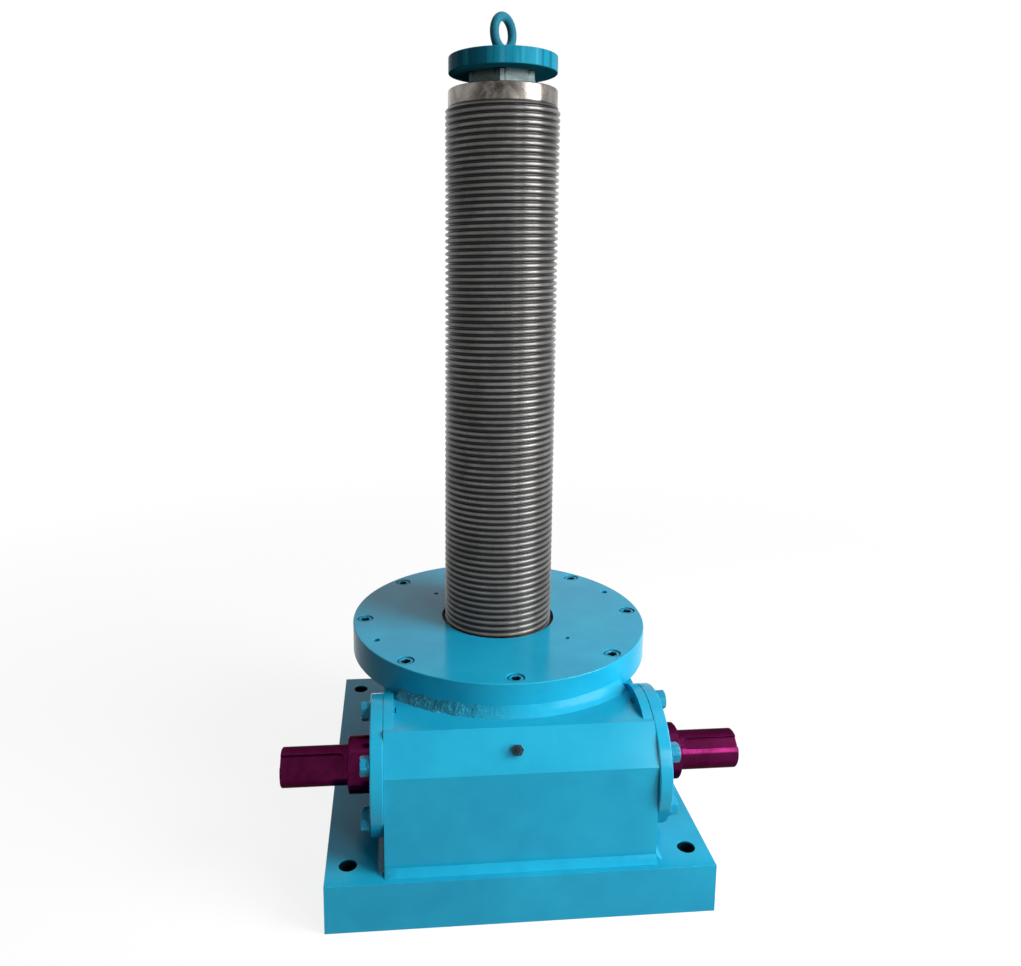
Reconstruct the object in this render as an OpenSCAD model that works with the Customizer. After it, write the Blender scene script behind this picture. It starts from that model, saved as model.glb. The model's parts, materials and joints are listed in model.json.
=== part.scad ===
// Worm screw jack: a travelling lifting screw raised by a worm, worm wheel and nut in a welded housing.
// +Z is up, the worm shaft runs along X and lies in front (-Y) of the lifting screw.
// The origin is on the screw axis, on the underside of the base plate.

/* [Base plate] */
// Width of the base plate beside the worm box, at each side
base_side = 83; // [60:1:140]
// Width of the base plate in front of the worm box
base_lip = 18; // [14:1:60]
// Width of the base plate behind the gear drum
base_tail = 66; // [50:1:120]
// Thickness of the base plate
base_t = 72; // [40:1:100]
// Diameter of the four fixing holes
base_hole_d = 26; // [18:0.5:34]
// Distance from a fixing hole to the side edge of the base plate
base_hole_side = 31; // [25:1:60]
// Distance from a fixing hole to the front or back edge of the base plate
base_hole_end = 42; // [25:1:60]
// Clearance of the base plate's bore round the lifting screw
base_bore_gap = 6; // [5:0.5:10]

/* [Housing] */
// Clearance between the worm wheel and the gear drum
drum_gap = 3; // [2:0.5:10]
// Wall thickness of the gear drum
drum_wall = 10; // [6:0.5:10]
// Distance from the bore of the worm bearings to the front face of the worm box
box_lip = 21; // [18:1:30]
// Step from the side of the gear drum to the end face of the worm box
box_step = 1; // [0:0.5:4]
// Wall thickness of the front, slope and top of the worm box
box_wall = 12; // [8:0.5:13]
// Thickness of the end walls of the worm box
box_end_wall = 20; // [16:1:24]
// Height of the sloping facet of the worm box
facet_h = 52; // [40:1:60]
// Depth of the sloping facet of the worm box
facet_d = 32; // [20:1:36]
// Thickness of the flange ring welded on the housing
ring_t = 22; // [18:1:30]
// Leg length of the fillet welds
weld_leg = 10; // [6:0.5:10]
// Leg length of the fillet weld round the flange ring
ring_weld_leg = 15; // [8:0.5:18]

/* [Top cover] */
// Width of the flange ring and top cover beyond the gear drum
cover_rim = 52; // [46:1:70]
// Thickness of the top cover
cover_t = 25; // [22:1:32]
// Distance from the top cover's edge to the circle of its screws
cover_screw_edge = 20; // [18:1:26]
// Number of top cover screws
cover_screws_n = 8; // [6:1:12]
// Thread diameter of the top cover screws
cover_screw_d = 16; // [12:1:16]
// Clearance of the top cover's bore round the lifting screw
cover_bore_gap = 5; // [4:0.5:8]
// Depth of the recess above the wiper ring
wiper_recess = 9; // [4:1:10]
// Diameter of the two jacking holes
jacking_hole_d = 12; // [8:1:14]
// Diameter of the two small set screw holes
set_hole_d = 8; // [4:1:10]
// Distance from the thrust bearing's edge to the set screw holes
set_hole_out = 7; // [4:1:20]

/* [Worm gear] */
// Module of the worm and the worm wheel
gear_module = 11; // [10.5:0.1:11.4]
// Number of teeth of the worm wheel
wheel_teeth = 30; // [29:1:30]
// Pitch diameter of the worm
worm_pitch_d = 112; // [108:1:114]
// Face width of the worm wheel
wheel_face = 84; // [70:2:84]
// Length of the threaded part of the worm
worm_len = 184; // [150:1:200]
// Backlash taken off each flank of a wheel tooth
backlash = 0.6; // [0.5:0.1:1.2]
// Height of the worm axis above the base plate
worm_h = 113; // [112:1:116]

/* [Worm shaft] */
// Diameter of the two shaft ends
shaft_d = 56; // [45:1:70]
// Length of the left shaft end beyond its shoulder
left_end_len = 97; // [70:1:120]
// Length of the right shaft end beyond its shoulder
right_end_len = 90; // [70:1:120]
// Diameter of the shoulders, which also run in the oil seals and the bearings
journal_d = 80; // [78:1:82]
// Length of shoulder that stands out of the end cover
shoulder_out = 33; // [20:1:50]
// Width of the keyways
key_w = 16; // [10:1:18]
// Depth of the keyways
key_depth = 6; // [4:0.5:8]
// Angle of the keyways, from the front towards the top
key_angle = 49; // [0:1:90]

/* [End covers] */
// Width of the end covers beyond the bearing bore
end_cover_rim = 28; // [26:1:34]
// Thickness of the end covers
end_cover_t = 18; // [14:1:22]
// Distance from the bearing bore to the circle of the end cover bolts
end_bolt_out = 13; // [11:0.5:16]
// Number of bolts in each end cover
end_bolts_n = 6; // [4:2:8]
// Thread diameter of the end cover bolts
end_bolt_d = 16; // [10:1:16]
// Thickness of the shim under each end cover
shim_t = 1; // [0.5:0.1:2]
// Outer diameter of the worm bearings
bearing_d = 140; // [130:1:150]
// Overall width of the worm bearings
bearing_w = 28; // [26:1:30]
// Outer diameter of the oil seals
seal_d = 100; // [96:1:110]

/* [Lifting screw] */
// Outside diameter of the lifting screw thread
screw_d = 180; // [176:1:182]
// Pitch of the lifting screw thread
thread_pitch = 10; // [8:1:16]
// Depth of the lifting screw thread
thread_depth = 5; // [3:0.5:6]
// Height of the top of the thread above the top cover, with the screw raised
thread_rise = 834; // [400:1:1000]
// Height of the plain collar above the thread
collar_h = 27; // [15:1:40]
// Width across the flats of the hexagon nut below the top plate
lock_nut_af = 100; // [90:1:110]
// Height of the hexagon nut
lock_nut_h = 24; // [16:1:36]
// Angle of one corner of the hexagon nut, turned from the worm shaft
lock_nut_angle = -101; // [-120:1:-60]
// Diameter of the stub that carries the hexagon nut and the top plate
stub_d = 70; // [50:1:80]
// Diameter of the top plate
top_plate_d = 170; // [150:1:180]
// Thickness of the top plate
top_plate_t = 25; // [18:1:35]
// Height of the stop ring at the lower end of the screw
stop_ring_h = 18; // [12:1:24]
// Radial running gap between the lifting screw and the nut and guide bush
thread_gap = 0.3; // [0.2:0.05:0.5]

/* [Eye bolt] */
// Diameter of the bar of the eye
eye_bar_d = 14; // [10:0.5:16]
// Outside diameter of the eye
eye_d = 63; // [54:1:72]
// Height of the eye bolt above the top plate
eye_h = 67; // [62:1:80]
// Thread diameter of the eye bolt
eye_thread_d = 16; // [12:1:20]
// Angle of the plane of the eye, turned from the worm shaft
eye_angle = 49; // [0:1:90]

/* [Thrust bearings] */
// Wall of the nut's journals, outside the lifting screw
nut_wall = 20; // [16:0.5:24]
// Width of the thrust bearings, from bore to outside
thrust_w = 25; // [24:0.5:30]
// Height of each thrust bearing
thrust_h = 37; // [35:1:40]
// Ball diameter of the thrust bearings
thrust_ball_d = 20; // [18:0.5:20]
// Number of balls in each thrust bearing
thrust_balls_n = 30; // [24:1:32]

/* [Hidden] */

paint = [0.11, 0.53, 0.68];
steel = [0.55, 0.55, 0.54];
dark_steel = [0.32, 0.32, 0.33];
bronze = [0.72, 0.5, 0.24];
lacquer = [0.42, 0.06, 0.26];
rubber = [0.06, 0.06, 0.07];

fine = 96;              // facets of a drawn circle
small = 32;             // facets of a drawn small circle
eps = 1;                // how far a cutter runs past the face that it cuts
fit_gap = 0.05;         // radial clearance of a piece seated in its bore
screw_gap = 0.8;        // radial clearance of a bolt in its through hole
tap_gap = 0.1;          // radial clearance of a bolt in its tapped hole
edge = 2;               // chamfer of turned edges
roll_gap = 0.1;         // clearance of rollers and balls on their tracks

wheel_pitch_r = gear_module * wheel_teeth / 2;
worm_pitch_r = worm_pitch_d / 2;
centres = wheel_pitch_r + worm_pitch_r;
worm_z = base_t + worm_h;
worm_tip_r = worm_pitch_r + gear_module;
worm_root_r = worm_pitch_r - 1.2 * gear_module;
tip_gap = 0.2 * gear_module;
throat_r = worm_root_r + tip_gap;
lead = PI * gear_module;
flank_angle = 20;
corner_rise = 5;         // height of the wheel's outer corners above its throat
wheel_outer_r = wheel_pitch_r + gear_module + corner_rise;

end_pcd = bearing_d + 2 * end_bolt_out;
end_cover_d = bearing_d + 2 * end_cover_rim;
drum_r = wheel_outer_r + drum_gap + drum_wall;
box_x = drum_r - box_step;
box_w = 2 * box_x;
box_front = centres + bearing_d / 2 + box_lip;
housing_h = worm_h + end_pcd / 2;
housing_top = base_t + housing_h;
crease_z = housing_top - facet_h;
ring_top = housing_top + ring_t;
cover_top = ring_top + cover_t;
cover_r = drum_r + cover_rim;
cover_screw_r = cover_r - cover_screw_edge;
cover_bore_d = screw_d + 2 * cover_bore_gap;
base_w = box_w + 2 * base_side;
base_front = box_front + base_lip;
base_back = drum_r + base_tail;
base_bore_d = screw_d + 2 * base_bore_gap;

journal_r = journal_d / 2;
cover_face_x = box_x + shim_t + end_cover_t;
shoulder_x = cover_face_x + shoulder_out;
spigot_len = 6;
bearing_x = box_x + shim_t - spigot_len;
cup_w = 22;
cone_w = 26;
cone_x = bearing_x - bearing_w;
collar_len = 20;
collar_r = worm_root_r + 3.2;
seal_w = 10;

nut_journal_r = screw_d / 2 + nut_wall;
thrust_r = nut_journal_r + thrust_w;
set_hole_r = thrust_r + set_hole_out;
nut_bore_r = screw_d / 2 + thread_gap;
nut_shoulder = 22;
wheel_bore_r = nut_journal_r + nut_shoulder;
wheel_low = worm_z - wheel_face / 2;
wheel_high = worm_z + wheel_face / 2;
seat_low = wheel_low - thrust_h;
seat_high = wheel_high + thrust_h;
nut_end_gap = 3;
pocket_depth = 8;
pocket_wall = 10;
bush_wall = 15;
bush_low = seat_high + 2 * nut_end_gap + 2;
wiper_h = 6;
wiper_low = cover_top - wiper_recess - wiper_h;

thread_top = cover_top + thread_rise;
collar_top = thread_top + collar_h;
plate_low = collar_top + lock_nut_h;
plate_top = plate_low + top_plate_t;
stop_gap = 3;
stop_top = seat_low - nut_end_gap - stop_gap;
screw_low = stop_top - stop_ring_h;
stop_ring_r = (screw_d / 2 + base_bore_d / 2) / 2 - 0.5;

// Repeats its children n times round the Z axis, starting at angle a0
module around(n, a0 = 0) {
    for (i = [0 : n - 1])
        rotate([0, 0, a0 + i * 360 / n]) children();
}

// Turns a piece that is built along +Z round the worm axis; side is 1 for the right end and -1 for the left
module on_worm_axis(side = 1) {
    translate([0, -centres, worm_z])
        mirror([side < 0 ? 1 : 0, 0, 0])
            rotate([0, 90, 0]) rotate([0, 0, 90]) children();
}

module tube(r_out, r_in, h) {
    difference() {
        cylinder(h = h, r = r_out, $fn = fine);
        translate([0, 0, -eps]) cylinder(h = h + 2 * eps, r = r_in, $fn = fine);
    }
}

// Turned disc or shaft section with chamfers at its lower and upper edges
module turned(r, h, low = 0, high = 0) {
    rotate_extrude($fn = fine)
        polygon([[0, 0], [r - low, 0], [r, low], [r, h - high], [r - high, h], [0, h]]);
}

// ---- Welded housing ----

module base_plate() {
    color(paint) difference() {
        translate([-base_w / 2, -base_front, 0]) cube([base_w, base_front + base_back, base_t]);
        translate([0, 0, -eps]) cylinder(h = base_t + 2 * eps, d = base_bore_d, $fn = fine);
        for (side = [-1, 1], y = [base_hole_end - base_front, base_back - base_hole_end])
            translate([side * (base_w / 2 - base_hole_side), y, -eps]) cylinder(h = base_t + 2 * eps, d = base_hole_d, $fn = small);
    }
}

// Section of the worm box in Y and Z, set in by a wall: front, crease, slope, top
function box_section(wall, back) = let (
        slope = atan2(facet_d, facet_h),
        front_y = wall - box_front,
        slope_y = facet_d - box_front + wall * tan((90 - slope) / 2),
        slope_z = crease_z - wall * tan(slope / 2)
    ) [[front_y, base_t], [front_y, slope_z], [slope_y, housing_top - wall],
       [back, housing_top - wall], [back, base_t]];

module box_prism(half_w, wall, back) {
    rotate([90, 0, 90]) translate([0, 0, -half_w])
        linear_extrude(height = 2 * half_w) polygon(box_section(wall, back));
}

// Back edge of the end walls, where they meet the gear drum
box_back = -0.36 * drum_r;
boss_wall = 16;
boss_r = bearing_d / 2 + boss_wall;
boss_in = cone_x - 2;
lug_len = 14;

module worm_box() {
    color(paint) difference() {
        union() {
            difference() {
                box_prism(box_x, 0, box_back);
                box_prism(box_x - box_end_wall, box_wall, 0);
            }
            intersection() {
                box_prism(box_x, 0, box_back);
                for (side = [-1, 1]) on_worm_axis(side)
                    translate([0, 0, boss_in]) cylinder(h = box_x - boss_in, r = boss_r, $fn = fine);
            }
            for (side = [-1, 1]) top_lug(side);
        }
        translate([0, 0, base_t - eps]) cylinder(h = housing_h + 2 * eps, r = drum_r, $fn = fine);
        for (side = [-1, 1]) on_worm_axis(side) {
            cylinder(h = box_x + eps, d = bearing_d, $fn = fine);
            around(end_bolts_n, 90)
                translate([end_pcd / 2, 0, box_x - box_end_wall + 2])
                    cylinder(h = box_end_wall, r = end_bolt_d / 2 + tap_gap, $fn = small);
        }
        nipple_place() translate([0, 0, -box_wall / 2 - eps])
            cylinder(h = box_wall + eps, r = nipple_r + tap_gap, $fn = small);
    }
}

// Raised part of an end wall that holds the topmost bolt of the end cover
module top_lug(side) {
    difference() {
        on_worm_axis(side) translate([0, 0, box_x - lug_len])
            cylinder(h = lug_len, d = end_cover_d, $fn = fine);
        translate([-box_w, -2 * box_front, 0]) cube([2 * box_w, box_front + facet_d, 2 * box_w]);
        translate([-box_w, -box_front, 0]) cube([2 * box_w, box_front, crease_z]);
        translate([0, 0, housing_top]) cylinder(h = box_w, r = cover_r + fit_gap, $fn = fine);
    }
}

module gear_drum() {
    opening_w = 2 * (boss_in - 8);
    color(paint) difference() {
        translate([0, 0, base_t]) tube(drum_r, drum_r - drum_wall, housing_h);
        translate([-opening_w / 2, -drum_r - eps, base_t + box_wall])
            cube([opening_w, drum_r, housing_h - 2 * box_wall]);
    }
}

module flange_ring() {
    color(paint) difference() {
        translate([0, 0, housing_top]) tube(cover_r, drum_r - drum_wall, ring_t);
        around(cover_screws_n, -90) translate([cover_screw_r, 0, housing_top - eps])
            cylinder(h = ring_t + 2 * eps, r = cover_screw_d / 2 + tap_gap, $fn = small);
    }
}

// Triangular weld section in the corner at r, z; out is 1 outside a wall and up is 1 above a plate
module weld_ring(r, z, leg, up, from, sweep) {
    rotate([0, 0, from]) rotate_extrude(angle = sweep, $fn = fine)
        polygon([[r, z], [r + leg, z], [r, z + up * leg]]);
}

module base_weld() {
    leg = weld_leg;
    span = 2 * (box_x + leg);
    length = box_front + leg + box_back;
    meet = asin(-box_back / drum_r);
    color(paint) {
        translate([0, 0, base_t]) difference() {
            intersection() {
                rotate([90, 0, 90]) translate([0, 0, -span / 2]) linear_extrude(height = span)
                    polygon([[-box_front - leg, 0], [-box_front, leg], [box_back, leg], [box_back, 0]]);
                rotate([90, 0, 0]) translate([0, 0, -box_back]) linear_extrude(height = length)
                    polygon([[-span / 2, 0], [-box_x, leg], [box_x, leg], [span / 2, 0]]);
            }
            translate([-box_x, -box_front, -eps]) cube([box_w, length, leg + 2 * eps]);
        }
        weld_ring(drum_r, base_t, leg, 1, -meet + 3, 180 + 2 * meet - 6);
    }
}

module ring_weld() {
    color(paint) intersection() {
        weld_ring(cover_r, housing_top, ring_weld_leg, 1, 180, 180);
        translate([lug_len - box_x, -box_front, housing_top])
            cube([box_w - 2 * lug_len, box_front, ring_t]);
    }
}

module drum_weld() {
    meet = asin(-box_back / drum_r);
    color(paint) weld_ring(drum_r, housing_top, ring_weld_leg, -1, -meet + 5, 180 + 2 * meet - 10);
}

// ---- Grease nipple ----

nipple_r = 6;
nipple_x = -6;
nipple_af = 14;
nipple_hex_h = 6;
nipple_ball_r = 4.2;
nipple_h = 17;

// Middle of the sloping facet, with Z along its normal
module nipple_place() {
    translate([nipple_x, facet_d / 2 - box_front, (crease_z + housing_top) / 2])
        rotate([atan2(facet_h, facet_d), 0, 0]) children();
}

module grease_nipple() {
    color(steel) nipple_place() union() {
        translate([0, 0, -box_wall / 2]) cylinder(h = box_wall / 2 + eps, r = nipple_r, $fn = small);
        cylinder(h = nipple_hex_h, r = nipple_af / sqrt(3), $fn = 6);
        rotate_extrude($fn = small) polygon([[0, 0], [nipple_ball_r, 0], [nipple_ball_r, nipple_hex_h + 3],
            [0.65 * nipple_ball_r, nipple_hex_h + 5], [nipple_ball_r, nipple_hex_h + 7.5],
            [0.85 * nipple_ball_r, nipple_h - 1.5], [0.5 * nipple_ball_r, nipple_h], [0, nipple_h]]);
    }
}

// ---- Top cover ----

head_r = 0.75 * cover_screw_d;
counterbore_r = head_r + 1.5;
head_gap = 1;
cover_hub_r = thrust_r + pocket_wall;
jacking_r = cover_screw_r - 3;

module top_cover() {
    half_step = 180 / cover_screws_n;
    color(paint) difference() {
        union() {
            translate([0, 0, ring_top]) turned(cover_r, cover_t, 0, edge / 2);
            translate([0, 0, seat_high - pocket_depth])
                cylinder(h = ring_top - seat_high + pocket_depth + eps, r = cover_hub_r, $fn = fine);
        }
        translate([0, 0, seat_high - pocket_depth - eps])
            cylinder(h = pocket_depth + eps, r = thrust_r + fit_gap, $fn = fine);
        translate([0, 0, seat_high - 2 * eps])
            cylinder(h = 2 * eps + 2 * nut_end_gap, r = nut_journal_r + nut_end_gap, $fn = fine);
        translate([0, 0, seat_high]) cylinder(h = wiper_low - seat_high, r = bush_r + fit_gap, $fn = fine);
        translate([0, 0, wiper_low - eps]) cylinder(h = cover_top - wiper_low + 2 * eps, d = cover_bore_d, $fn = fine);
        around(cover_screws_n, -90) translate([cover_screw_r, 0, 0]) {
            translate([0, 0, ring_top - eps])
                cylinder(h = cover_t + 2 * eps, r = cover_screw_d / 2 + screw_gap, $fn = small);
            translate([0, 0, cover_top - cover_screw_d - head_gap])
                cylinder(h = cover_screw_d + head_gap + eps, r = counterbore_r, $fn = small);
        }
        around(2, half_step) translate([jacking_r, 0, ring_top - eps])
            cylinder(h = cover_t + 2 * eps, d = jacking_hole_d, $fn = small);
        around(2, 135) translate([set_hole_r, 0, cover_top - 12])
            cylinder(h = 12 + eps, d = set_hole_d, $fn = small);
    }
}

// Socket head cap screw with its axis on Z and its head seat at height 0
module socket_screw(d, len, socket_d) {
    difference() {
        union() {
            translate([0, 0, -len]) cylinder(h = len + eps, r = d / 2, $fn = small);
            turned(head_r, d, 0, 1);
        }
        translate([0, 0, d / 2]) cylinder(h = d, d = socket_d, $fn = 6);
    }
}

module cover_screws() {
    seat = cover_top - cover_screw_d - head_gap;
    color(dark_steel) around(cover_screws_n, -90)
        translate([cover_screw_r, 0, seat])
            socket_screw(cover_screw_d, seat - housing_top - edge, cover_screw_d);
}

bush_r = screw_d / 2 + bush_wall;

module guide_bush() {
    color(bronze) translate([0, 0, bush_low]) tube(bush_r, nut_bore_r, wiper_low - bush_low);
}

module wiper_ring() {
    color(rubber) translate([0, 0, wiper_low])
        tube(cover_bore_d / 2 - fit_gap, nut_bore_r, wiper_h);
}

// ---- End covers ----

module end_bolt_places() {
    around(end_bolts_n, 90) translate([end_pcd / 2, 0, 0]) children();
}

module end_cover(side) {
    color(paint) on_worm_axis(side) difference() {
        union() {
            translate([0, 0, box_x + shim_t]) turned(end_cover_d / 2, end_cover_t, 0, edge / 2);
            translate([0, 0, bearing_x])
                cylinder(h = spigot_len + eps, r = bearing_d / 2 - fit_gap, $fn = fine);
        }
        translate([0, 0, bearing_x - eps])
            cylinder(h = spigot_len + end_cover_t + 2 * eps, r = journal_r + 2, $fn = fine);
        translate([0, 0, cover_face_x - seal_w])
            cylinder(h = seal_w + eps, r = seal_d / 2 + fit_gap, $fn = fine);
        end_bolt_places() translate([0, 0, box_x])
            cylinder(h = end_cover_t + shim_t + eps, r = end_bolt_d / 2 + screw_gap, $fn = small);
    }
}

module left_end_cover() { end_cover(-1); }
module right_end_cover() { end_cover(1); }

// Hexagon head bolts with spring washers, screwed into the end walls
module cover_bolts(side) {
    washer_t = 3;
    head_h = 0.64 * end_bolt_d;
    head_af = 1.5 * end_bolt_d;
    color(paint) on_worm_axis(side) end_bolt_places() union() {
        translate([0, 0, box_x - box_end_wall + 4])
            cylinder(h = cover_face_x - box_x + box_end_wall - 4 + washer_t, d = end_bolt_d, $fn = small);
        translate([0, 0, cover_face_x])
            cylinder(h = washer_t, r = 0.86 * end_bolt_d, $fn = small);
        translate([0, 0, cover_face_x + washer_t])
            cylinder(h = head_h, r = head_af / sqrt(3), $fn = 6);
    }
}

module left_cover_bolts() { cover_bolts(-1); }
module right_cover_bolts() { cover_bolts(1); }

shim_inset = 1;

module shim(side) {
    color(paint) on_worm_axis(side) difference() {
        translate([0, 0, box_x]) tube(end_cover_d / 2 - shim_inset, bearing_d / 2 + fit_gap, shim_t);
        end_bolt_places() translate([0, 0, box_x - eps])
            cylinder(h = shim_t + 2 * eps, r = end_bolt_d / 2 + screw_gap, $fn = small);
    }
}

module left_shim() { shim(-1); }
module right_shim() { shim(1); }

module oil_seal(side) {
    lip_gap = 0.3;
    color(rubber) on_worm_axis(side) translate([0, 0, cover_face_x - seal_w])
        tube(seal_d / 2, journal_r + lip_gap, seal_w);
}

module left_oil_seal() { oil_seal(-1); }
module right_oil_seal() { oil_seal(1); }

// ---- Worm bearings: tapered rollers with their wide ends towards the worm ----

roller_angle = 12.5;     // lean of a roller's axis
roller_taper = 1.5;      // half angle of a roller
roller_len = 16;
roller_r = 5;            // at half length
rollers_n = 26;
track_r = (journal_r + bearing_d / 2) / 2 - 2.2;
track_x = (cone_x + bearing_x) / 2 + 1;

// Point of the bearing's section in its own X and radius: along the roller axis by s, off it by t
function at_roller(s, t) = [
    track_x + s * cos(roller_angle) + t * sin(roller_angle),
    track_r - s * sin(roller_angle) + t * cos(roller_angle)];

// Height at which a raceway line through two section points meets a plane x
function on_line(p, q, x) = p[1] + (q[1] - p[1]) * (x - p[0]) / (q[0] - p[0]);

half_roller = roller_len / 2;
track_off = roller_r + roll_gap;
track_slope = half_roller * tan(roller_taper);
cup_a = at_roller(-half_roller, track_off + track_slope);
cup_b = at_roller(half_roller, track_off - track_slope);
cone_a = at_roller(-half_roller, -track_off - track_slope);
cone_b = at_roller(half_roller, -track_off + track_slope);

// Revolves a section given in X and radius round the worm axis
module revolve_x(points) {
    rotate_extrude($fn = fine) polygon([for (p = points) [p[1], p[0]]]);
}

module bearing_cup(side) {
    x0 = bearing_x - cup_w;
    r_out = bearing_d / 2 - fit_gap;
    color(steel) on_worm_axis(side)
        revolve_x([[x0, r_out], [bearing_x, r_out], [bearing_x, on_line(cup_a, cup_b, bearing_x)],
            [x0, on_line(cup_a, cup_b, x0)]]);
}

module bearing_cone(side) {
    x1 = cone_x + cone_w;
    rib = 1.6;
    back = cone_a[0] - roll_gap * 3;
    front = cone_b[0] + roll_gap * 3 + 1;
    r_in = journal_r + fit_gap;
    color(steel) on_worm_axis(side)
        revolve_x([[cone_x, r_in], [x1, r_in], [x1, on_line(cone_a, cone_b, front)],
            [front, on_line(cone_a, cone_b, front)], [back, on_line(cone_a, cone_b, back)],
            [back - rib, on_line(cone_a, cone_b, back) + rib], [cone_x, on_line(cone_a, cone_b, back) + rib]]);
}

module bearing_rollers(side) {
    wide = roller_r + half_roller * tan(roller_taper);
    narrow = roller_r - half_roller * tan(roller_taper);
    color(dark_steel) on_worm_axis(side) around(rollers_n)
        translate([track_r, 0, track_x]) rotate([0, -roller_angle, 0]) translate([0, 0, -half_roller])
            cylinder(h = roller_len, r1 = wide, r2 = narrow, $fn = small);
}

module left_bearing_cup() { bearing_cup(-1); }
module right_bearing_cup() { bearing_cup(1); }
module left_bearing_rollers() { bearing_rollers(-1); }
module right_bearing_rollers() { bearing_rollers(1); }
module left_bearing_cone() { bearing_cone(-1); }
module right_bearing_cone() { bearing_cone(1); }

// ---- Worm shaft and worm ----

keyway_gap = 6;

module keyway(end_len) {
    reach = end_len - keyway_gap;
    rotate([0, 0, 180 - key_angle])
        translate([shaft_d / 2 - key_depth, 0, shoulder_x + keyway_gap + key_w / 2]) {
            rotate([0, 90, 0]) cylinder(h = shaft_d, d = key_w, $fn = small);
            translate([0, -key_w / 2, 0]) cube([shaft_d, key_w, reach]);
        }
}

module half_shaft(end_len) {
    difference() {
        union() {
            turned(worm_root_r, cone_x - collar_len + eps);
            translate([0, 0, cone_x - collar_len]) turned(collar_r, collar_len, edge / 2, edge / 2);
            translate([0, 0, cone_x - eps]) turned(journal_r, shoulder_x - cone_x + eps, 0, edge);
            translate([0, 0, shoulder_x - eps]) turned(shaft_d / 2, end_len + eps, 0, edge);
        }
        keyway(end_len);
    }
}

module worm_shaft() {
    color(lacquer) {
        on_worm_axis(-1) half_shaft(left_end_len);
        on_worm_axis(1) half_shaft(right_end_len);
    }
}

turn_steps = 30;
thread_turns = floor((worm_len - 20) / lead * turn_steps) / turn_steps;
thread_seat_r = (worm_root_r + fit_gap) / cos(180 / turn_steps);

// Half of the thread's thickness along the worm axis at radius r
function half_thread(r) = lead / 4 - (r - worm_pitch_r) * tan(flank_angle);

// Four corners of the thread's section at step i; its height runs out over the first and last third of a turn
function thread_ring(i, n) = let (
        a = 360 * (i - n / 2) / turn_steps,
        x = lead * (i - n / 2) / turn_steps + lead / 2,
        run_out = turn_steps / 3,
        rise = min(1, (0.35 + i) / run_out, (0.35 + n - i) / run_out),
        r = thread_seat_r + (worm_tip_r - thread_seat_r) * rise,
        foot = half_thread(thread_seat_r),
        crest = half_thread(r)
    ) [for (p = [[-foot, thread_seat_r], [-crest, r], [crest, r], [foot, thread_seat_r]])
        [x + p[0], p[1] * cos(a), p[1] * sin(a)]];

// The helical thread of the right-hand worm, cut from the same bar as the shaft
module worm_thread() {
    n = round(thread_turns * turn_steps);
    points = [for (i = [0 : n]) each thread_ring(i, n)];
    sides = [for (i = [0 : n - 1], k = [0 : 3]) let (a = 4 * i + k, b = 4 * i + (k + 1) % 4)
        each [[a, b, b + 4], [a, b + 4, a + 4]]];
    ends = [[3, 2, 1], [3, 1, 0], [4 * n, 4 * n + 1, 4 * n + 2], [4 * n, 4 * n + 2, 4 * n + 3]];
    color(lacquer) translate([0, -centres, worm_z])
        polyhedron(points = points, faces = concat(sides, ends), convexity = 10);
}

// ---- Worm wheel and nut ----

wheel_key_w = 20;
wheel_key_h = 12;

flank_steps = 3;
level_steps = 6;
tooth_points = 2 * flank_steps + 2;

// Point of a wheel flank, in the plane z from the worm axis, that meets the worm's flank at radius r.
// The worm's section in that plane is a rack; where the flank's normal passes the pitch point, they touch.
function flank_point(r, z, side) = let (
        reach = sqrt(r * r - z * z),
        h = centres - reach,
        x = side * (lead / 2 - half_thread(r)) + lead * asin(z / r) / 360,
        dx = side * tan(flank_angle) - lead / (2 * PI) * z / (r * reach),
        dh = -r / reach,
        touch_x = -(h - wheel_pitch_r) * dh / dx,
        turn = ((touch_x - x) / wheel_pitch_r + side * backlash / wheel_pitch_r) * 180 / PI
    ) [cos(turn) * touch_x - sin(turn) * h, -sin(turn) * touch_x - cos(turn) * h];

// Flank point at distance r from the wheel axis, closed in on between the worm radii near and far
function flank_at(r, z, side, near, far, steps = 16) = let (
        mid = (near + far) / 2,
        p = flank_point(mid, z, side)
    ) steps == 0 ? p
        : norm(p) > r ? flank_at(r, z, side, mid, far, steps - 1)
        : flank_at(r, z, side, near, mid, steps - 1);

// Moves a flank point in or out to radius r, for the corners of the tooth space
function at_radius(p, r) = p * r / norm(p);

// One tooth's outline in the plane z, from its left root to its right root
function tooth_outline(z) = let (
        tip = min(wheel_outer_r, abs(z) < throat_r ? centres - sqrt(throat_r * throat_r - z * z) : wheel_outer_r),
        near = sqrt(pow(centres - tip, 2) + z * z),
        root = centres - sqrt(pow(worm_tip_r + tip_gap, 2) - z * z)
    ) concat(
        [at_radius(flank_point(worm_tip_r, z, -1), root)],
        flank(tip, z, -1, near),
        reverse(flank(tip, z, 1, near)),
        [at_radius(flank_point(worm_tip_r, z, 1), root)]);

// Flank points from the lowest point that the worm reaches up to the tip
function flank(tip, z, side, near) = let (low = norm(flank_point(worm_tip_r, z, side)))
    [for (k = [0 : flank_steps - 1])
        flank_at(low + (tip - low) * k / (flank_steps - 1), z, side, near, worm_tip_r)];

function reverse(points) = [for (i = [len(points) - 1 : -1 : 0]) points[i]];

function turn_point(p, a) = [p[0] * cos(a) - p[1] * sin(a), p[0] * sin(a) + p[1] * cos(a)];

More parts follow.
